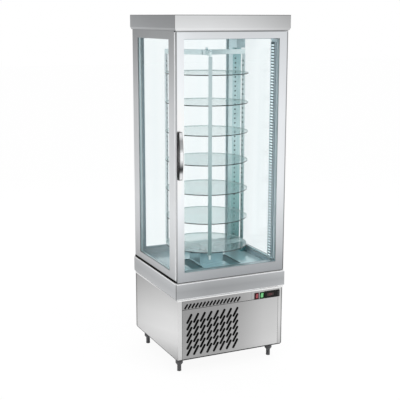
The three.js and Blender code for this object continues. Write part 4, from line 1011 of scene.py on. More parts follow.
# Painted shade and light: darker towards the left, lighter towards the right.
REAR_SPACER = steel(
    "rear_spacer_bar",
    Axis.Z,
    shades(ALONG_X, (-0.24, 118, 138, 146), (0.0, 190, 208, 212), (0.24, 232, 243, 245)),
    roughness=0.4,
    metallic=0.2,
)
SPACER = BrushedMetal("spacer_bar", display(188, 206, 208), display(216, 232, 234), Axis.Z, roughness=0.4)
RED_LENS = Lamp("red_lens", (0.3, 0.045, 0.06), strength=0.05)
GREEN_LENS = Lamp("green_lens", (0.12, 0.42, 0.16), strength=0.12)
LIGHT_CHIP = Lamp("light_chip", (0.7, 0.78, 0.81), strength=0.62)
LAMP_HOUSING = BrushedMetal(
    "lamp_housing",
    display(214, 226, 231),
    display(236, 246, 250),
    Axis.Z,
    roughness=0.4,
    metallic=0.0,
)
LAMP_STRIP = BrushedMetal(
    "lamp_strip",
    display(52, 72, 80),
    display(74, 94, 102),
    Axis.Z,
    roughness=0.4,
    metallic=0.0,
)
LAMP_EDGE = BrushedMetal("lamp_edge", display(140, 156, 163), display(160, 176, 182), Axis.Z, roughness=0.4)
LAMP_LENS = BrushedMetal(
    "lamp_lens",
    display(236, 248, 250),
    display(246, 254, 255),
    Axis.Z,
    roughness=0.3,
    metallic=0.0,
)
DISPLAY_WINDOW = Polished(
    "display_window",
    (0.012, 0.002, 0.002),
    (0.03, 0.004, 0.004),
    roughness=0.08,
    metallic=0.0,
)
DIGIT_GLOW = Lamp("display_digit", (0.16, 0.012, 0.03), strength=0.35)
SWITCH_RED = Moulded(
    "red_switch_body",
    (0.025, 0.003, 0.004),
    (0.05, 0.006, 0.008),
    roughness=0.45,
    specular=0.2,
)
SWITCH_GREEN = Moulded(
    "green_switch_body",
    (0.003, 0.02, 0.006),
    (0.006, 0.045, 0.012),
    roughness=0.45,
    specular=0.2,
)


class Workshop:
    """Turns meshes and CAD nodes into named pieces, and reports each one."""

    def __init__(self) -> None:
        """Reads which body and slot each CAD node has."""
        record = frame["record"]
        self.body_of = {n: b for b, nodes in record["behaviour"]["bodies"].items() for n in nodes}
        self.slot_of = {p["node"]: p["material_slot"] for p in record["subparts"]}

    def piece(
        self,
        shape: Shape,
        name: str,
        finishes: Sequence[Finish],
        body: str,
        slot: str,
        stands_for: Iterable[str] = (),
        facing: bool = True,
    ) -> bpy.types.Object:
        """Makes a mesh object of a bmesh and parents it to its CAD body.

        Args:
            shape: the bmesh, which is freed.
            name: the piece's name.
            finishes: one finish for each material index.
            body: the CAD body it rides on.
            slot: the record's slot; not used.
            stands_for: CAD nodes that it replaces.
            facing: whether to work out afresh which way the faces point.

        Returns:
            The new object.
        """
        if facing:
            bmesh.ops.recalc_face_normals(shape, faces=shape.faces)
        for edge in shape.edges:
            edge.smooth = edge.is_manifold and edge.calc_face_angle() < SMOOTH_ANGLE
        for face in shape.faces:
            face.smooth = True
        mesh = bpy.data.meshes.new(name)
        shape.to_mesh(mesh)
        shape.free()
        made = bpy.data.objects.new(name, mesh)
        bpy.context.scene.collection.objects.link(made)
        for finish in finishes:
            mesh.materials.append(finish.material())
        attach(made, body)
        if stands_for:
            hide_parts(*stands_for)
        LOG.info("%s rides on %s with %d faces", name, body, len(mesh.polygons))
        return made

    def copied(self, node: str) -> Shape:
        """A bmesh of a CAD node with its corners joined.

        Args:
            node: the CAD node.

        Returns:
            The bmesh.
        """
        shape = bmesh.new()
        shape.from_mesh(frame["nodes"][node].data)
        bmesh.ops.remove_doubles(shape, verts=shape.verts, dist=MERGE_DISTANCE)
        return shape

    def flattened(self, node: str) -> Shape:
        """A bmesh of a CAD node with its corners and its flat faces joined.

        Args:
            node: the CAD node.

        Returns:
            The bmesh.
        """
        shape = self.copied(node)
        bmesh.ops.dissolve_limit(shape, angle_limit=FLAT_ANGLE, verts=shape.verts, edges=shape.edges)
        return shape

    def standing_in(
        self, shape: Shape, node: str, finishes: Sequence[Finish], paint: Optional[Paint]
    ) -> bpy.types.Object:
        """Makes a bmesh the piece that stands for a CAD node.

        Args:
            shape: the bmesh.
            node: the CAD node.
            finishes: one finish for each material index.
            paint: gives a face's material index.

        Returns:
            The new object.
        """
        if paint:
            for face in shape.faces:
                face.material_index = paint(face)
        body, slot = self.body_of[node], self.slot_of[node]
        return self.piece(shape, f"{node}_finished", finishes, body, slot, (node,), False)

    def softened(
        self,
        node: str,
        finishes: Sequence[Finish],
        radius: float = 0.0008,
        segments: int = 2,
        paint: Optional[Paint] = None,
        shape: Optional[Shape] = None,
    ) -> bpy.types.Object:
        """A copy of a CAD node with flat faces joined and edges rounded, in place of the node.

        Args:
            node: the CAD node.
            finishes: one finish for each material index.
            radius: how far the rounding reaches on each face.
            segments: steps round the edge.
            paint: gives a face's material index.
            shape: the copy, where it has been worked on already.

        Returns:
            The new object.
        """
        if shape is None:
            shape = self.flattened(node)
        made = self.standing_in(shape, node, finishes, paint)
        bevel = made.modifiers.new("rounded edges", "BEVEL")
        bevel.width = radius
        bevel.segments = segments
        bevel.limit_method = "ANGLE"
        bevel.angle_limit = SMOOTH_ANGLE
        bevel.harden_normals = True
        return made

    def crisp(self, node: str, finishes: Sequence[Finish], paint: Paint) -> bpy.types.Object:
        """A copy of a thin pierced CAD node with its edges as they are, in place of the node.

        Args:
            node: the CAD node.
            finishes: one finish for each material index.
            paint: gives a face's material index.

        Returns:
            The new object.
        """
        return self.standing_in(self.copied(node), node, finishes, paint)


SHOP = Workshop()


def placed_axis(axis: Axis, centre: Vector) -> Matrix:
    """The matrix that stands a shape made along +Z on an axis at a point.

    Args:
        axis: the axis to stand it along.
        centre: where its middle goes.

    Returns:
        The matrix.
    """
    turns = {
        Axis.X: Matrix.Rotation(math.pi / 2, 4, "Y"),
        Axis.Y: Matrix.Rotation(-math.pi / 2, 4, "X"),
        Axis.Z: Matrix.Identity(4),
    }
    return Matrix.Translation(centre) @ turns[axis]


def cut(shape: Shape, axis: Axis, place: float) -> None:
    """Cuts new edges into a shape where a plane square to an axis crosses it.

    Args:
        shape: the bmesh to cut.
        axis: the axis.
        place: where the plane stands on that axis.
    """
    point, direction = Vector(), Vector()
    point[axis.value], direction[axis.value] = place, 1
    parts = [*shape.verts, *shape.edges, *shape.faces]
    bmesh.ops.bisect_plane(shape, geom=parts, dist=CUT_DISTANCE, plane_co=point, plane_no=direction)


def add_block(
    shape: Shape, low: Vector, high: Vector, radius: float, segments: int = 2, index: int = 0
) -> None:
    """Adds a block with rounded edges.

    Args:
        shape: the bmesh to add to.
        low: its lowest corner.
        high: its highest corner.
        radius: the rounding of its edges.
        segments: steps round each edge.
        index: its material index.
    """
    size, middle = high - low, (low + high) / 2
    matrix = Matrix.Translation(middle) @ Matrix.Diagonal((*size, 1))
    known = set(shape.faces)
    made = bmesh.ops.create_cube(shape, size=1.0, matrix=matrix)
    edges = list(dict.fromkeys(edge for vert in made["verts"] for edge in vert.link_edges))
    bmesh.ops.bevel(
        shape, geom=edges, offset=radius, segments=segments, profile=0.5, affect="EDGES", material=-1
    )
    for face in shape.faces:
        if face not in known:
            face.material_index = index


def add_bar(shape: Shape, axis: Axis, radius: float, span: Span, centre: Vector, sides: int) -> None:
    """Adds a round bar along an axis.

    Args:
        shape: the bmesh to add to.
        axis: the axis it lies along.
        radius: its radius.
        span: its two ends on that axis.
        centre: a point on its centre line.
        sides: how many sides it has.
    """
    middle = centre.copy()
    middle[axis.value] = (span[0] + span[1]) / 2
    bmesh.ops.create_cone(
        shape,
        cap_ends=True,
        segments=sides,
        radius1=radius,
        radius2=radius,
        depth=span[1] - span[0],
        matrix=placed_axis(axis, middle),
    )


def add_turning(
    shape: Shape,
    profile: Sequence[Span],
    centre: Vector,
    axis: Axis = Axis.Z,
    steps: int = 64,
    indices: Optional[Sequence[int]] = None,
) -> None:
    """Adds a solid of revolution.

    Args:
        shape: the bmesh to add to.
        profile: (radius, height) pairs that start and end on the axis.
        centre: the point where height is zero.
        axis: the axis of revolution.
        steps: steps in the full turn.
        indices: a material index for each stretch of the profile.
    """
    matrix = placed_axis(axis, centre)
    turns = [2 * math.pi * step / steps for step in range(steps)]
    rings = []
    for radius, height in profile:
        angles = turns if radius > 0 else turns[:1]
        places = [Vector((radius * math.cos(angle), radius * math.sin(angle), height)) for angle in angles]
        rings.append([shape.verts.new(matrix @ place) for place in places])
    for near, far, index in zip(rings, rings[1:], indices or [0] * len(rings)):
        for step in range(steps):
            after = (step + 1) % steps
            corners = (
                near[step % len(near)],
                near[after % len(near)],
                far[after % len(far)],
                far[step % len(far)],
            )
            # Where a ring is a single corner on the axis, two of the four are one, and the face is a triangle.
            shape.faces.new(list(dict.fromkeys(corners))).material_index = index


@dataclass
class Feet:
    """Four levelling feet: sleeve, cone, threaded stem and sole."""

    names: tuple[str, ...] = ("foot_front_left", "foot_front_right", "foot_rear_left", "foot_rear_right")
    sleeve: float = 0.0205
    stem: float = 0.0115
    sole: float = 0.0118
    sleeve_height: float = 0.041
    cone_height: float = 0.011
    sole_height: float = 0.005
    thread_pitch: float = 0.0028
    thread_depth: float = 0.0007
    sole_rounding: float = 0.0012
    sleeve_rounding: float = 0.001
    steps: int = 40

    def profile(self, height: float) -> list[Span]:
        """The foot's outline from the floor up, as (radius, height) pairs.

        Args:
            height: the foot's height.

        Returns:
            The outline.
        """
        outline = [
            (0.0, 0.0),
            (self.sole - self.sole_rounding, 0.0),
            (self.sole, self.sole_rounding),
            (self.sole, self.sole_height),
        ]
        top = height - self.sleeve_height - self.cone_height
        rise = self.sole_height + self.thread_pitch / 2
        outline.append((self.stem, self.sole_height))
        while rise < top - self.thread_pitch:
            outline.append((self.stem - self.thread_depth, rise))
            outline.append((self.stem, rise + self.thread_pitch / 2))
            rise += self.thread_pitch
        edge = self.sleeve_rounding
        return outline + [
            (self.stem, top),
            (self.sleeve - edge, top + self.cone_height),
            (self.sleeve, top + self.cone_height + edge),
            (self.sleeve, height - edge),
            (self.sleeve - edge, height),
            (0.0, height),
        ]

    def build(self) -> None:
        """Builds the four feet in place of their CAD nodes."""
        for name in self.names:
            low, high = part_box(name)
            shape = bmesh.new()
            centre = Vector(((low.x + high.x) / 2, (low.y + high.y) / 2, low.z))
            add_turning(shape, self.profile(high.z - low.z), centre, steps=self.steps)
            SHOP.piece(shape, f"{name}_finished", [FOOT_MOULDING], Rider.CABINET.value, Slot.FOOT.value, (name,))


@dataclass
class Base:
    """Machine base with its panels, grille and fascia, and the collar and the cap of the same folded sheet."""

    panel_edge: float = 0.0006
    cap_edge: float = 0.0018
    inlet_edge: float = 0.0005
    # Width of the painted shade round each slot.
    slot_shade_rim: float = 0.0013
    screw_steps: int = 12
    screw_radius: float = 0.0035
    screw_proud: float = 0.0009
    screw_inset: float = 0.012
    shoulder_out: float = 0.8
    shoulder_up: float = 0.7
    sheet: float = 0.002
    flange_height: float = 0.0068
    flange_gap: float = 0.0002
    flange_depth: float = 0.0022
    flange_edge: float = 0.0004
    return_back: float = 0.001
    return_depth: float = 0.01
    return_gap: float = 0.0012
    return_edge: float = 0.0005
    filter_gap: float = 0.0006
    filter_depth: float = 0.003
    filter_margin: float = 0.004
    filter_edge: float = 0.0008
    grille_filter_z: Span = (0.1165, 0.371)
    fascia_filter_x: Span = (-0.291, 0.1)
    fascia_filter_z: Span = (0.3775, 0.42)

    def build(self) -> None:
        """Builds the sheet-metal pieces of the base, the collar and the cap, and what belongs to them."""
        # The pan is painted near black as shade.
        SHOP.softened("base_pan", [PAINTED_SHADE_SHEET])
        panel = [BASE_SIDE, BASE_RETURN, PAINTED_SHADE_SHEET]
        SHOP.softened("left_side_panel", panel, self.panel_edge, 2, lambda face: self.panel_paint(face, -1))
        SHOP.softened("right_side_panel", panel, self.panel_edge, 2, lambda face: self.panel_paint(face, 1))
        self.pierced_sheet("front_grille")
        self.pierced_sheet("control_fascia")
        SHOP.crisp("rear_panel", [REAR_STEEL, SLOT_SHADE], self.rear_paint)
        SHOP.softened("collar", [COLLAR_FRONT, COLLAR_SIDE, COLLAR_TOP], self.panel_edge, 2, self.collar_paint)
        SHOP.softened("top_cap", [CAP_FRONT, CAP_SIDE], self.cap_edge, 3, self.side_paint)
        SHOP.softened("power_inlet", [BLACK_MOULDING], self.inlet_edge)
        self.filters()
        self.collar_flange()
        self.cap_return()
        self.rear_screws()

    def panel_paint(self, face: Face, side: int) -> int:
        """Outer face, front return, or unseen inside of a side panel, painted near black as shade.

        Args:
            face: the face.
            side: -1 for the left panel and 1 for the right one.

        Returns:
            The material index.
        """
        if face.normal.x * side > PARTLY_FACING:
            return 0
        return 1 if face.normal.y < -PARTLY_FACING else 2

    def pierced_sheet(self, node: str) -> None:
        """A pierced front sheet with a rim of painted shade round its slots and its outline.

        Args:
            node: the CAD node that it replaces.
        """
        sheet = SHOP.flattened(node)
        front = [face for face in sheet.faces if self.sheet_paint(face) == 0 and face.normal.y < 0]
        grown = bmesh.ops.inset_region(
            sheet, faces=front, thickness=self.slot_shade_rim, use_boundary=True, use_even_offset=True
        )
        rims = set(grown["faces"])

        def paint(face: Face) -> int:
            """Painted shade for the rim faces as well as for the slot walls."""
            return 1 if face in rims else self.sheet_paint(face)

        SHOP.standing_in(sheet, node, [BASE_FRONT, SLOT_SHADE], paint)

    def sheet_paint(self, face: Face) -> int:
        """The front and the edges of a front sheet are brushed steel; its slot walls and back are painted shade.
        """
        outer = abs(face.normal.x) > SQUARE_TO or face.normal.z > SQUARE_TO
        return 0 if face.normal.y < -FACING or outer else 1

    def rear_paint(self, face: Face) -> int:
        """The rear of the rear sheet is brushed steel, and its slot walls are painted near black as shade."""
        return 0 if face.normal.y > FACING else 1

    def side_paint(self, face: Face) -> int:
        """The broad sides are brushed front to back, with their own painted shade, and the rest across."""
        return 1 if abs(face.normal.x) > BROADLY_FACING else 0

    def collar_paint(self, face: Face) -> int:
        """The collar's sides, its front and its top."""
        return 2 if face.normal.z > BROADLY_FACING else self.side_paint(face)

    def filters(self) -> None:
        """Builds the black air filters behind the grille and the fascia's vents, their black also painted shade.
        """
        low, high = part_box("front_grille")
        near = low.y + self.sheet + self.filter_gap
        inner = (low.x + self.sheet + self.filter_margin, high.x - self.sheet - self.filter_margin)
        for name, xs, zs in (
            ("front_grille_filter", inner, self.grille_filter_z),
            ("control_fascia_filter", self.fascia_filter_x, self.fascia_filter_z),
        ):
            shape = bmesh.new()
            far = Vector((xs[1], near + self.filter_depth, zs[1]))
            add_block(shape, Vector((xs[0], near, zs[0])), far, self.filter_edge)
            SHOP.piece(shape, name, [FILTER_FOAM], Rider.CABINET.value, Slot.BLACK_PLASTIC.value)

    def collar_flange(self) -> None:
        """Builds the collar's thin lower flange, a painted highlight line above the fascia and the side panels."""
        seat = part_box("collar")[0].z
        base_low, base_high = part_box("left_side_panel")
        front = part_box("control_fascia")[0].y
        bottom, top = seat - self.flange_height, seat - self.flange_gap
        shape = bmesh.new()
        near = Vector((base_low.x, front - self.flange_depth, bottom))
        add_block(shape, near, Vector((-base_low.x, front, top)), self.flange_edge, 1)
        for x in (base_low.x - self.flange_depth, -base_low.x):
            near = Vector((x, front, bottom))
            add_block(shape, near, Vector((x + self.flange_depth, base_high.y, top)), self.flange_edge, 1, 1)
        SHOP.piece(shape, "collar_flange", [FLANGE_FRONT_HIGHLIGHT, FLANGE_SIDE_HIGHLIGHT], Rider.CABINET.value, Slot.STAINLESS.value)

    def cap_return(self) -> None:
        """Builds the cap's folded return, the thin line above the door."""
        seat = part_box("top_cap")[0].z
        door_low, door_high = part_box("door_frame")
        shape = bmesh.new()
        near = Vector((door_low.x, door_low.y + self.return_back, door_high.z + self.return_gap))
        far = Vector((door_high.x, near.y + self.return_depth, seat + self.sheet))
        add_block(shape, near, far, self.return_edge)
        SHOP.piece(shape, "top_cap_return", [CAP_RETURN], Rider.CABINET.value, Slot.STAINLESS.value)

    def rear_screws(self) -> None:
        """Builds a row of dome-headed screws round the rear panel."""
        low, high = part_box("rear_panel")
        shoulder = (self.shoulder_out * self.screw_radius, self.shoulder_up * self.screw_proud)
        dome = [(0.0, 0.0), (self.screw_radius, 0.0), shoulder, (0.0, self.screw_proud)]
        shape = bmesh.new()
        for x in (low.x + self.screw_inset, (low.x + high.x) / 2, high.x - self.screw_inset):
            for z in (low.z + self.screw_inset, high.z - self.screw_inset):
                add_turning(shape, dome, Vector((x, high.y, z)), Axis.Y, self.screw_steps)
        SHOP.piece(shape, "rear_panel_screws", [PLAIN_STEEL], Rider.CABINET.value, Slot.STAINLESS.value)


@dataclass
class GlassUnit:
    """Insulating glass unit: two panes with polished edges and four spacer bars between them."""

    node: str
    across: Axis
    depth: Axis
    pane: float = 0.004
    spacer: float = 0.0095
    clearance: float = 0.0003
    bars: Finish = SPACER
    pane_edge: float = 0.0006
    bar_edge: float = 0.0008

    def build(self, body: Rider) -> None:
        """Builds the panes and the spacer in place of the CAD unit.

        Args:
            body: the body the unit rides on.
        """
        low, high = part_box(self.node)
        panes = bmesh.new()
        d = self.depth.value
        for start in (low[d], high[d] - self.pane):
            a, b = low.copy(), high.copy()
            a[d], b[d] = start, start + self.pane
            add_block(panes, a, b, self.pane_edge, 1)
        SHOP.piece(panes, f"{self.node}_panes", [PANE], body.value, Slot.GLASS.value, (self.node,))
        bars = bmesh.new()
        a, b = low.copy(), high.copy()
        a[d] = low[d] + self.pane + self.clearance
        b[d] = high[d] - self.pane - self.clearance
        w = self.across.value
        for start in (low[w], high[w] - self.spacer):
            p, q = a.copy(), b.copy()
            p[w], q[w] = start, start + self.spacer
            add_block(bars, p, q, self.bar_edge, 1)
        for start in (low.z, high.z - self.spacer):
            p, q = a.copy(), b.copy()
            p[w], q[w] = low[w] + self.spacer, high[w] - self.spacer
            p.z, q.z = start, start + self.spacer
            add_block(bars, p, q, self.bar_edge, 1)
        SHOP.piece(bars, f"{self.node}_spacer", [self.bars], body.value, Slot.DARK_STEEL.value)


@dataclass
class Tower:
    """Glazed tower: frames, glass units, seal and ceiling."""

    edge: float = 0.0009
    seal_edge: float = 0.001
    ceiling_edge: float = 0.0006
    rear_spacer: float = 0.0145
    bulb: float = 0.0026
    bulb_out: float = 0.4
    bulb_sides: int = 16
    lip: float = 0.0011
    left_lip_out: float = 1.2
    right_lip_out: float = 0.2
    lip_edge: float = 0.0004
    lip_top: float = 0.5365

    def build(self) -> None:
        """Builds the frames, the seal, the ceiling and the fixed glass units."""
        finishes = [TOWER_STILE, TOWER_RAIL, JAMB_STEEL]
        SHOP.softened("left_frame", finishes, self.edge, 2, lambda face: self.side_paint(face, -1))
        SHOP.softened("right_frame", finishes, self.edge, 2, lambda face: self.side_paint(face, 1))
        SHOP.softened("rear_frame", [TOWER_STILE, REAR_JAMB], self.edge, 2, self.rear_paint)
        SHOP.softened("front_frame", [JAMB_STEEL], self.edge)
        SHOP.softened("tower_seal", [SEAL_RUBBER], self.seal_edge)
        SHOP.softened("ceiling_panel", [CHAMBER_STEEL], self.ceiling_edge)
        GlassUnit("left_glass", Axis.Y, Axis.X).build(Rider.CABINET)
        GlassUnit("right_glass", Axis.Y, Axis.X).build(Rider.CABINET)
        rear = GlassUnit("rear_glass", Axis.X, Axis.Y, spacer=self.rear_spacer, bars=REAR_SPACER)
        rear.build(Rider.CABINET)
        self.seal_bulbs()

    def side_paint(self, face: Face, side: int) -> int:
        """Outside, rebate rails or inside of a side frame.

        Args:
            face: the face.
            side: -1 for the left frame and 1 for the right one.

        Returns:
            The material index.
        """
        if face.normal.x * side > FACING or face.normal.y < -FACING:
            return 0
        return 1 if abs(face.normal.z) > FACING else 2

    def rear_paint(self, face: Face) -> int:
        """The rear frame's outside takes painted light; the rest, seen in the chamber, is painted darker to the
        left.
        """
        return 0 if face.normal.y > FACING else 1

    def seal_bulbs(self) -> None:
        """Builds the rounded bulbs of the black seal and its lips up the sides of the tower."""
        low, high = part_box("tower_seal")
        shape = bmesh.new()
        z = low.z + self.bulb
        for x in (low.x - self.bulb_out * self.bulb, high.x + self.bulb_out * self.bulb):
            add_bar(shape, Axis.Y, self.bulb, (low.y, high.y), Vector((x, 0, z)), self.bulb_sides)
        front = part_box("door_frame")[0].y
        left, right = low.x - self.left_lip_out * self.lip, high.x + self.right_lip_out * self.lip
        for x, y in ((left, front), (right, low.y)):
            add_block(shape, Vector((x, y, z)), Vector((x + self.lip, high.y, self.lip_top)), self.lip_edge)
        SHOP.piece(shape, "tower_seal_bulbs", [SEAL_RUBBER], Rider.CABINET.value, Slot.RUBBER.value)


@dataclass
class Door:
    """Glazed door: frame, glass, gasket and bow handle."""

    edge: float = 0.0011
    gasket_edge: float = 0.0015
    pivot_edge: float = 0.0006
    pane: float = 0.0038
    handle_edge: float = 0.0012
    handle_shoulder: float = 0.003
    handle_steps: int = 14
    waist: float = 0.006
    front_slant: float = 0.6
    lip_gap: float = 0.0008
    lip_sunk: float = 0.0003
    lip_seat: float = 0.002
    lip_edge: float = 0.0006

    def build(self) -> None:
        """Builds the door's pieces."""
        finishes = [DOOR_STEEL, DOOR_EDGE]
        SHOP.softened("door_frame", finishes, self.edge, 3, lambda face: int(face.normal.x < -FACING))
        SHOP.softened("door_gasket", [GASKET_RUBBER], self.gasket_edge)
        self.gasket_lip()
        SHOP.softened("hinge_pivot_top", [ZINC_SHEET], self.pivot_edge)
        SHOP.softened("hinge_pivot_bottom", [ZINC_SHEET], self.pivot_edge)
        GlassUnit("door_glass", Axis.X, Axis.Y, pane=self.pane).build(Rider.DOOR)
        self.handle()

    def gasket_lip(self) -> None:
        """Builds the gasket's pale outer lip, nearly flush with the door's left edge."""
        frame_low, frame_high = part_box("door_frame")
        gasket_low, gasket_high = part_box("door_gasket")
        near = frame_high.y + self.lip_gap
        shape = bmesh.new()
        low = Vector((frame_low.x + self.lip_sunk, near, frame_low.z + self.lip_gap))
        high = Vector((gasket_low.x + self.lip_seat, gasket_high.y - self.lip_gap, frame_high.z - self.lip_gap))
        add_block(shape, low, high, self.lip_edge)
        SHOP.piece(shape, "door_gasket_lip", [GASKET_LIP], Rider.DOOR.value, Slot.RUBBER.value)

    def handle(self) -> None:
        """Builds the bow handle: chrome on its bowed front, black on its sides, back and left shoulder."""
        low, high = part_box("door_handle")
        half = (high.z - low.z) / 2
        shape = SHOP.flattened("door_handle")
        for step in range(1, self.handle_steps):
            cut(shape, Axis.Z, low.z + 2 * half * step / self.handle_steps)
        cut(shape, Axis.X, low.x + self.handle_shoulder)
        for vert in shape.verts:
            share = (vert.co.z - low.z - half) / half
            vert.co.x += self.waist * share * share * (high.x - vert.co.x) / (high.x - low.x)

        def paint(face: Face) -> int:
            """Chrome for the bowed front beyond the shoulder, black for the rest.

            Args:
                face: the face.

            Returns:
                The material index.
            """
            middle = face.calc_center_median()
            share = (middle.z - low.z - half) / half
            border = low.x + self.handle_shoulder + self.waist * share * share
            return 1 if face.normal.y < -self.front_slant and middle.x > border else 0

        SHOP.softened("door_handle", [BLACK_MOULDING, HANDLE_CHROME], self.handle_edge, 3, paint, shape)


@dataclass
class LightBars:
    """Light bars on the front posts: a housing, a lens, a dark strip and a row of bright chips."""

    pitch: float = 0.0158
    chip_width: float = 0.03
    chip_height: float = 0.0086
    strip_width: float = 0.04
    chip_back: float = 0.0035
    edge_width: float = 0.016
    lens_width: float = 0.006
    front_margin: float = 0.0015
    rear_margin: float = 0.0008
    proud: float = 0.0006
    end_margin: float = 0.012
    cap_top: float = 1.833
    groove: float = 0.0045
    core: float = 0.004
    end_share: float = 0.3
    housing_edge: float = 0.0008
    layer_edge: float = 0.0003
    chip_edge: float = 0.0004
    rib_edge: float = 0.0012

    def build(self) -> None:
        """Builds both bars."""
        for node, side in (("led_bar_left", -1), ("led_bar_right", 1)):
            SHOP.softened(node, [LAMP_HOUSING], self.housing_edge, 3)
            low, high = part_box(node)
            margin = self.end_share * self.end_margin
            z_span = (low.z + margin, high.z - margin)
            lens = high.y - self.rear_margin
            strip = lens - self.lens_width
            front = low.y + self.front_margin
            self.layer(node, side, "lens", LAMP_LENS, (strip, lens), z_span)
            self.layer(node, side, "strip", LAMP_STRIP, (strip - self.strip_width, strip), z_span)
            self.layer(node, side, "edge", LAMP_EDGE, (front, front + self.edge_width), z_span)
            self.chips(node, side, strip - self.chip_back - self.chip_width / 2)
            self.end_cap(node)

    def slab(self, node: str, side: int, level: int, y_span: Span, z_span: Span) -> tuple[Vector, Vector]:
        """Two corners of a thin layer on a bar's inner face.

        Args:
            node: the CAD node of the bar.
            side: -1 for the left bar and 1 for the right one.
            level: how many layers up from the face its front is.
            y_span: its limits in depth.
            z_span: its limits in height.

        Returns:
            Its lowest and highest corners.
        """
        low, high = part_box(node)
        face = high.x if side < 0 else low.x
        seated, front = face + side * self.proud, face - side * level * self.proud
        near, far = sorted((seated, front))
        return Vector((near, y_span[0], z_span[0])), Vector((far, y_span[1], z_span[1]))

    def layer(self, node: str, side: int, name: str, finish: Finish, y_span: Span, z_span: Span) -> None:
        """Builds one full-height layer of a bar.

        Args:
            node: the CAD node of the bar.
            side: -1 for the left bar and 1 for the right one.
            name: the layer's name.
            finish: its finish.
            y_span: its limits in depth.
            z_span: its limits in height.
        """
        shape = bmesh.new()
        add_block(shape, *self.slab(node, side, 1, y_span, z_span), self.layer_edge, 1)
        SHOP.piece(shape, f"{node}_{name}", [finish], Rider.CABINET.value, Slot.DIFFUSER.value)

    def chips(self, node: str, side: int, middle: float) -> None:
        """Builds the row of chips.

        Args:
            node: the CAD node of the bar.
            side: -1 for the left bar and 1 for the right one.
            middle: the depth of the row's centre line.
        """
        low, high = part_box(node)
        y_span = (middle - self.chip_width / 2, middle + self.chip_width / 2)
        shape = bmesh.new()
        count = int((high.z - low.z - 2 * self.end_margin) / self.pitch)
        for i in range(count + 1):
            z = low.z + self.end_margin + i * self.pitch
            corners = self.slab(node, side, 2, y_span, (z - self.chip_height / 2, z + self.chip_height / 2))
            add_block(shape, *corners, self.chip_edge, 1)
        SHOP.piece(shape, f"{node}_chips", [LIGHT_CHIP], Rider.CABINET.value, Slot.DIFFUSER.value)

    def end_cap(self, node: str) -> None:
        """Builds the ribbed cap that closes a bar's top end.

        Args:
            node: the CAD node of the bar.
        """
        low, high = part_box(node)
        shape = bmesh.new()
        count = int((self.cap_top - high.z) / self.pitch) + 1
        step = (self.cap_top - high.z) / count
        for i in range(count):
            z = high.z + i * step
            near = Vector((low.x, low.y, z + self.groove))
            add_block(shape, near, Vector((high.x, high.y, z + step)), self.rib_edge, 2)
        core = Vector((self.core, self.core, 0))
        base, top = Vector((low.x, low.y, high.z)), Vector((high.x, high.y, self.cap_top))
        add_block(shape, base + core, top - core, self.chip_edge, 1)
        SHOP.piece(shape, f"{node}_cap", [LAMP_HOUSING], Rider.CABINET.value, Slot.DIFFUSER.value)


class DuctTone(IntEnum):
    """The air duct's finishes, by their material index."""

    SIDE = 0
    FRONT = 1
    HEAD = 2
    FOOT = 3
    INSIDE = 4


@dataclass
class Chamber:
    """Chamber floor with the drive pedestal, air duct, and the tub under the floor with what it holds."""

    floor_edge: float = 0.0007
    tub_edge: float = 0.002
    coil_edge: float = 0.0003
    motor_edge: float = 0.0012
    rail_edge: float = 0.0004
    slat_edge: float = 0.0006
    skin: float = 0.0006
    guard_x: Span = (0.0824, 0.1516)
    guard_y: Span = (-0.1196, 0.0846)
    guard_z: Span = (0.5325, 0.5355)
    slat: float = 0.0052
    slat_pitch: float = 0.0085
    duct_front: float = 0.192
    head_bottom: float = 1.7
    foot_top: float = 0.62

    def build(self) -> None:
        """Builds the floor, the duct, the tub, the evaporator and the gear motor."""
        SHOP.softened("chamber_floor", [CHAMBER_STEEL], self.floor_edge, 3)
        finishes = [DUCT_SIDE, DUCT_FRONT, DUCT_HEAD, DUCT_FOOT, DUCT_INSIDE_SHADE]
        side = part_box("air_duct")[0].x
        SHOP.crisp("air_duct", finishes, lambda face: self.duct_paint(face, side))
        SHOP.softened("evaporator_tub", [TUB_SKIN], self.tub_edge)
        SHOP.softened("evaporator_unit", [FIN_STOCK], self.coil_edge, 1)
        SHOP.softened("gear_motor", [BLACK_ENAMEL], self.motor_edge)
        self.vent_guards()

    def vent_guards(self) -> None:
        """Builds the slatted guards in the floor's two air openings."""
        shape = bmesh.new()
        (front, rear), (bottom, top) = self.guard_y, self.guard_z
        count = int((rear - front - self.slat) / self.slat_pitch)
        for side in (-1, 1):
            left, right = sorted((side * self.guard_x[0], side * self.guard_x[1]))
            for x in (left, right - self.slat):
                far = Vector((x + self.slat, rear, bottom))
                add_block(shape, Vector((x, front, bottom - self.slat)), far, self.rail_edge, 1)
            for i in range(count + 1):
                y = front + i * (rear - front - self.slat) / count
                far = Vector((right, y + self.slat, top))
                add_block(shape, Vector((left, y, bottom)), far, self.slat_edge, 1)
        SHOP.piece(shape, "floor_vent_guards", [GUARD_STEEL], Rider.CABINET.value, Slot.STAINLESS.value)

    def duct_paint(self, face: Face, side: float) -> int:
        """The duct's side, its pierced front, its head, its foot, or its inside, painted dark as shade.

        Args:
            face: the face.
            side: where the duct's left side stands.

        Returns:
            The material index.
        """
        middle = face.calc_center_median()
        if face.normal.x < -FACING and (middle.x < side + self.skin or middle.z < self.foot_top):
            return DuctTone.FOOT if middle.z < self.foot_top else DuctTone.SIDE
        if face.normal.y > -FACING:
            return DuctTone.INSIDE if abs(face.normal.z) < LEVEL_WITH else DuctTone.HEAD
        if middle.z > self.head_bottom and middle.y < self.duct_front - self.skin:
            return DuctTone.HEAD
        if middle.z < self.foot_top and middle.y < self.duct_front - self.skin:
            return DuctTone.FOOT
        return DuctTone.FRONT if middle.y < self.duct_front + self.skin else DuctTone.INSIDE


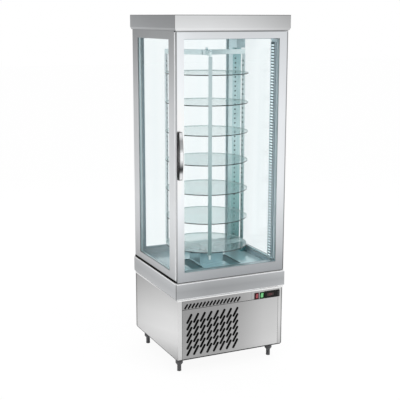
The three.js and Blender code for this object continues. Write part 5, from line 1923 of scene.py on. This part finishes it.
@dataclass
class Carousel:
    """Turning stack: round glass shelves, slotted uprights, drive hub and top spider."""

    shelves: int = 7
    uprights: int = 3
    arris: float = 0.0007
    arm_edge: float = 0.001
    steps: int = 144
    axis_y: float = 0.026
    upper_level: float = 1.2
    upright_walls: Span = (0.2514, 0.2586)

    def build(self) -> None:
        """Builds the shelves and what carries them."""
        for i in range(1, self.shelves + 1):
            self.shelf(f"shelf_{i}")
        for i in range(1, self.uprights + 1):
            low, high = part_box(f"upright_{i}")
            # The left rear upright takes the lit copy, painted lighter; the others are painted darker towards the
            # bottom.
            outside = LIT_CARRIER_STEEL if high.x < 0 < low.y else CARRIER_STEEL
            SHOP.crisp(f"upright_{i}", [outside, CARRIER_INSIDE_SHADE], self.upright_paint)
        for node in ("drive_hub", "top_spider"):
            # Faces that look down take the darker copy, painted shade.
            finishes = [SPIDER_STEEL, SPIDER_UNDERSIDE_SHADE]
            SHOP.softened(node, finishes, self.arm_edge, 2, lambda face: int(face.normal.z < -FACING))

    def upright_paint(self, face: Face) -> int:
        """The outside of an upright's box section, or its inside and slot walls, painted dark as shade.

        Args:
            face: the face.

        Returns:
            The material index.
        """
        outward = face.calc_center_median() - Vector((0, self.axis_y, 0))
        outward.z = 0
        low, high = self.upright_walls
        lean = abs(face.normal.dot(outward.normalized()))
        return int(low < outward.length < high and lean > BROADLY_FACING)

    def shelf(self, node: str) -> None:
        """Builds one glass disc with a ground rim.

        Args:
            node: the CAD node of the shelf.
        """
        low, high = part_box(node)
        centre = Vector(((low.x + high.x) / 2, (low.y + high.y) / 2, low.z))
        radius, thick = (high.x - low.x) / 2, high.z - low.z
        outline = [
            (0.0, 0.0),
            (radius - self.arris, 0.0),
            (radius, self.arris),
            (radius, thick - self.arris),
            (radius - self.arris, thick),
            (0.0, thick),
        ]
        shape = bmesh.new()
        add_turning(shape, outline, centre, steps=self.steps, indices=(0, 1, 1, 0, 0))
        finishes = [UPPER_SHELF_FACE if low.z > self.upper_level else SHELF_FACE, SHELF_RIM]
        SHOP.piece(shape, f"{node}_disc", finishes, Rider.CAROUSEL.value, Slot.SHELF_GLASS.value, (node,))


@dataclass
class Controls:
    """Rocker switches and the temperature controller on the fascia."""

    screen_x: Span = (0.223, 0.265)
    screen_z: Span = (0.387, 0.403)
    screen_depth: float = 0.0004
    digit_height: float = 0.0105
    digit_width: float = 0.0062
    stroke: float = 0.0012
    digit_gap: float = 0.0034
    # How much of each rocker's width, from the left, is painted dark as shade.
    reading: str = "04"
    red_shade_share: float = 0.32
    green_shade_share: float = 0.12
    bridge_x: Span = (0.2054, 0.2088)
    bridge_z: Span = (0.3775, 0.4125)
    plate_x: Span = (0.124, 0.2945)
    plate_z: Span = (0.3795, 0.4275)
    line: float = 0.0007
    switch_edge: float = 0.0007
    controller_edge: float = 0.0009
    rocker_edge: float = 0.0006
    key_edge: float = 0.0005
    window_edge: float = 0.0002
    filler_edge: float = 0.0003
    stroke_edge: float = 0.0001

    def build(self) -> None:
        """Builds the switch housings, rockers, controller, keys and the display."""
        SHOP.softened("power_switch_body", [SWITCH_RED], self.switch_edge, 3)
        SHOP.softened("light_switch_body", [SWITCH_GREEN], self.switch_edge, 3)
        SHOP.softened("controller_body", [BLACK_MOULDING], self.controller_edge, 3)
        self.rocker("power_rocker", SWITCH_RED, RED_LENS, self.red_shade_share)
        self.rocker("light_rocker", SWITCH_GREEN, GREEN_LENS, self.green_shade_share)
        for node in ("key_down", "key_set", "key_up"):
            SHOP.softened(node, [KEY_MOULDING], self.key_edge, 3)
        self.display()
        self.bridge()
        self.plate_outline()

    def rocker(self, node: str, body: Finish, lens: Finish, share: float) -> None:
        """Builds a rocker with a lit lens beside its left side, which is painted dark as shade.

        Args:
            node: the CAD node.
            body: the finish of its left side, painted dark as shade.
            lens: the lens's finish.
            share: how much of its width is painted dark as shade.
        """
        low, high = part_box(node)
        edge = low.x + share * (high.x - low.x)
        shape = SHOP.flattened(node)
        cut(shape, Axis.X, edge)

        def paint(face: Face) -> int:
            """The lens to the right of the cut."""
            return int(face.calc_center_median().x > edge)

        SHOP.softened(node, [body, lens], self.rocker_edge, 2, paint, shape)

    def display(self) -> None:
        """Builds the dark display window and the two dim digits behind it."""
        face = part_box("controller_body")[0].y + self.screen_depth
        shape = bmesh.new()
        near = Vector((self.screen_x[0], face, self.screen_z[0]))
        far = Vector((self.screen_x[1], face + self.screen_depth, self.screen_z[1]))
        add_block(shape, near, far, self.window_edge, 1)
        SHOP.piece(shape, "display_window", [DISPLAY_WINDOW], Rider.CABINET.value, Slot.BLACK_PLASTIC.value)
        digits = bmesh.new()
        pitch = self.digit_width + self.digit_gap
        start = (self.screen_x[0] + self.screen_x[1] - pitch * len(self.reading) + self.digit_gap) / 2
        middle = (self.screen_z[0] + self.screen_z[1]) / 2
        for i, figure in enumerate(self.reading):
            self.digit(digits, figure, Vector((start + i * pitch, face, middle)))
        SHOP.piece(digits, "display_digits", [DIGIT_GLOW], Rider.CABINET.value, Slot.RED_LENS.value)

    def digit(self, shape: Shape, figure: str, corner: Vector) -> None:
        """Adds the lit bars of one figure.

        Args:
            shape: the bmesh to add to.
            figure: the figure.
            corner: its left edge, at the middle of its height.
        """
        bars = {"0": "abcdef", "4": "bcfg"}[figure]
        w, h, t = self.digit_width, self.digit_height / 2, self.stroke
        spans = {
            "a": ((0, w), (h - t, h)),
            "b": ((w - t, w), (t, h - t)),
            "c": ((w - t, w), (t - h, -t)),
            "d": ((0, w), (-h, t - h)),
            "e": ((0, t), (t - h, -t)),
            "f": ((0, t), (t, h - t)),
            "g": ((0, w), (-t / 2, t / 2)),
        }
        for bar in bars:
            xs, zs = spans[bar]
            near = corner + Vector((xs[0], -self.screen_depth / 2, zs[0]))
            far = corner + Vector((xs[1], self.screen_depth / 2, zs[1]))
            add_block(shape, near, far, self.stroke_edge, 1)

    def bridge(self) -> None:
        """Builds the black filler between the right-hand switch and the controller."""
        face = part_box("control_fascia")[0].y
        shape = bmesh.new()
        near = Vector((self.bridge_x[0], face - 2 * self.line, self.bridge_z[0]))
        add_block(shape, near, Vector((self.bridge_x[1], face, self.bridge_z[1])), self.filler_edge)
        SHOP.piece(shape, "control_filler", [BLACK_MOULDING], Rider.CABINET.value, Slot.BLACK_PLASTIC.value)

    def plate_outline(self) -> None:
        """Builds the fine raised edge round the switches and the controller."""
        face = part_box("control_fascia")[0].y
        shape = bmesh.new()
        (left, right), (bottom, top) = self.plate_x, self.plate_z
        for xs, zs in (
            ((left, right), (bottom - self.line, bottom)),
            ((left, right), (top, top + self.line)),
            ((left, left + self.line), (bottom, top)),
        ):
            near = Vector((xs[0], face - self.line / 2, zs[0]))
            add_block(shape, near, Vector((xs[1], face, zs[1])), self.stroke_edge, 1)
        SHOP.piece(shape, "control_plate_edge", [PLATE_EDGE], Rider.CABINET.value, Slot.STAINLESS.value)


@dataclass
class Machinery:
    """Condensing unit behind the grille, and the fans."""

    coil_edge: float = 0.0003
    shroud_edge: float = 0.0006
    shell_edge: float = 0.003
    condenser_blade_edge: float = 0.0006
    evaporator_blade_edge: float = 0.0005

    def build(self) -> None:
        """Builds the coil, shroud, compressor and fan rotors."""
        SHOP.softened("condenser_coil", [BLACK_COIL], self.coil_edge, 1)
        # The fan shroud is painted near black as shade.
        SHOP.softened("fan_shroud", [PAINTED_SHADE_SHEET], self.shroud_edge)
        SHOP.softened("compressor", [BLACK_ENAMEL], self.shell_edge, 3)
        SHOP.softened("condenser_fan", [BLACK_MOULDING], self.condenser_blade_edge)
        SHOP.softened("evaporator_fan", [BLACK_MOULDING], self.evaporator_blade_edge)


@dataclass(frozen=True)
class Softbox:
    """A square area lamp that looks at a point on the cabinet's centre line."""

    name: str
    place: tuple[float, float, float]
    height_lit: float
    size: float
    watts: float

    def build(self) -> None:
        """Hangs the lamp, hidden from what glass and steel reflect."""
        data = bpy.data.lights.new(self.name, "AREA")
        data.size = self.size
        data.energy = self.watts
        made = bpy.data.objects.new(self.name, data)
        place = Vector(self.place)
        turn = (Vector((0, 0, self.height_lit)) - place).to_track_quat("-Z", "Y").to_matrix().to_4x4()
        made.matrix_world = Matrix.Translation(place) @ turn
        made.visible_glossy = False
        bpy.context.scene.collection.objects.link(made)


@dataclass
class Studio:
    """Pale floor, white surroundings, soft lamps and the camera at the photograph's angle."""

    eye: tuple[float, float, float] = (-2.1064, -4.4036, 1.9216)
    yaw: float = math.radians(25.0145)
    pitch: float = math.radians(-11.8375)
    roll: float = math.radians(0.0955)
    lens: float = 78.85
    sensor: float = 36.0
    sight: float = 200.0
    floor_size: float = 60.0
    floor_tone: float = 0.92
    floor_lift: float = 0.93
    daylight: float = 1.0
    glass_layers: int = 40
    lamps: tuple[Softbox, ...] = (
        Softbox("key_lamp", (1.6, -4.2, 3.4), 1.0, 2.6, 95),
        Softbox("fill_lamp", (-4.2, -1.6, 2.8), 1.0, 2.4, 28),
        Softbox("rear_lamp", (1.5, 3.8, 3.2), 1.1, 2.4, 45),
    )

    def build(self) -> None:
        """Builds the camera, the floor, the surroundings and the lamps."""
        self.camera()
        self.floor()
        self.surroundings()
        for lamp in self.lamps:
            lamp.build()
        bpy.context.scene.view_settings.view_transform = "Standard"
        bpy.context.scene.cycles.transparent_max_bounces = self.glass_layers

    def camera(self) -> None:
        """Places the camera by its yaw, pitch and roll."""
        level = Vector((math.cos(self.yaw), -math.sin(self.yaw), 0))
        flat = Vector((math.sin(self.yaw), math.cos(self.yaw), 0))
        ahead = math.cos(self.pitch) * flat + Vector((0, 0, math.sin(self.pitch)))
        above = level.cross(ahead)
        right = math.cos(self.roll) * level + math.sin(self.roll) * above
        up = math.cos(self.roll) * above - math.sin(self.roll) * level
        data = bpy.data.cameras.new("photo_camera")
        data.lens = self.lens
        data.sensor_width = self.sensor
        data.clip_end = self.sight
        made = bpy.data.objects.new("photo_camera", data)
        turn = Matrix((right, up, -ahead)).transposed().to_4x4()
        made.matrix_world = Matrix.Translation(self.eye) @ turn
        bpy.context.scene.collection.objects.link(made)
        bpy.context.scene.camera = made

    def floor(self) -> None:
        """Builds the floor: nearly white to the camera, in glass and in metal, and still shadowed."""
        material = bpy.data.materials.new("studio_floor")
        graph = Graph(material)
        matt = graph.node("ShaderNodeBsdfDiffuse")
        matt.inputs["Color"].default_value = (*[self.floor_tone] * 3, 1)
        lift = graph.node("ShaderNodeEmission")
        lift.inputs["Color"].default_value = (1, 1, 1, 1)
        lift.inputs["Strength"].default_value = 1.0
        share = graph.remap(graph.seen(), (0, self.floor_lift), (0, 1))
        graph.surface(graph.layered(share, matt.outputs["BSDF"], lift.outputs["Emission"]))
        shape = bmesh.new()
        bmesh.ops.create_grid(shape, x_segments=1, y_segments=1, size=self.floor_size / 2)
        mesh = bpy.data.meshes.new("studio_floor")
        shape.to_mesh(mesh)
        shape.free()
        mesh.materials.append(material)
        made = bpy.data.objects.new("studio_floor", mesh)
        bpy.context.scene.collection.objects.link(made)

    def surroundings(self) -> None:
        """Builds the world: white to the camera, glass and metal, and plain daylight as a light."""
        world = bpy.data.worlds.new("studio_world")
        bpy.context.scene.world = world
        graph = Graph(world, "ShaderNodeOutputWorld")
        light, white = graph.node("ShaderNodeBackground"), graph.node("ShaderNodeBackground")
        for back, strength in ((light, self.daylight), (white, 1.0)):
            back.inputs["Color"].default_value = (1, 1, 1, 1)
            back.inputs["Strength"].default_value = strength
        graph.surface(graph.layered(graph.seen(), light.outputs["Background"], white.outputs["Background"]))


def main() -> None:
    """Builds the cabinet piece by piece, then the studio."""
    logging.basicConfig(level=logging.INFO, format="%(name)s: %(message)s")
    for assembly in (
        Feet(),
        Base(),
        Chamber(),
        Tower(),
        LightBars(),
        Carousel(),
        Controls(),
        Machinery(),
        Door(),
        Studio(),
    ):
        LOG.info("building %s", type(assembly).__name__)
        assembly.build()


if __name__ == "__main__":
    main()
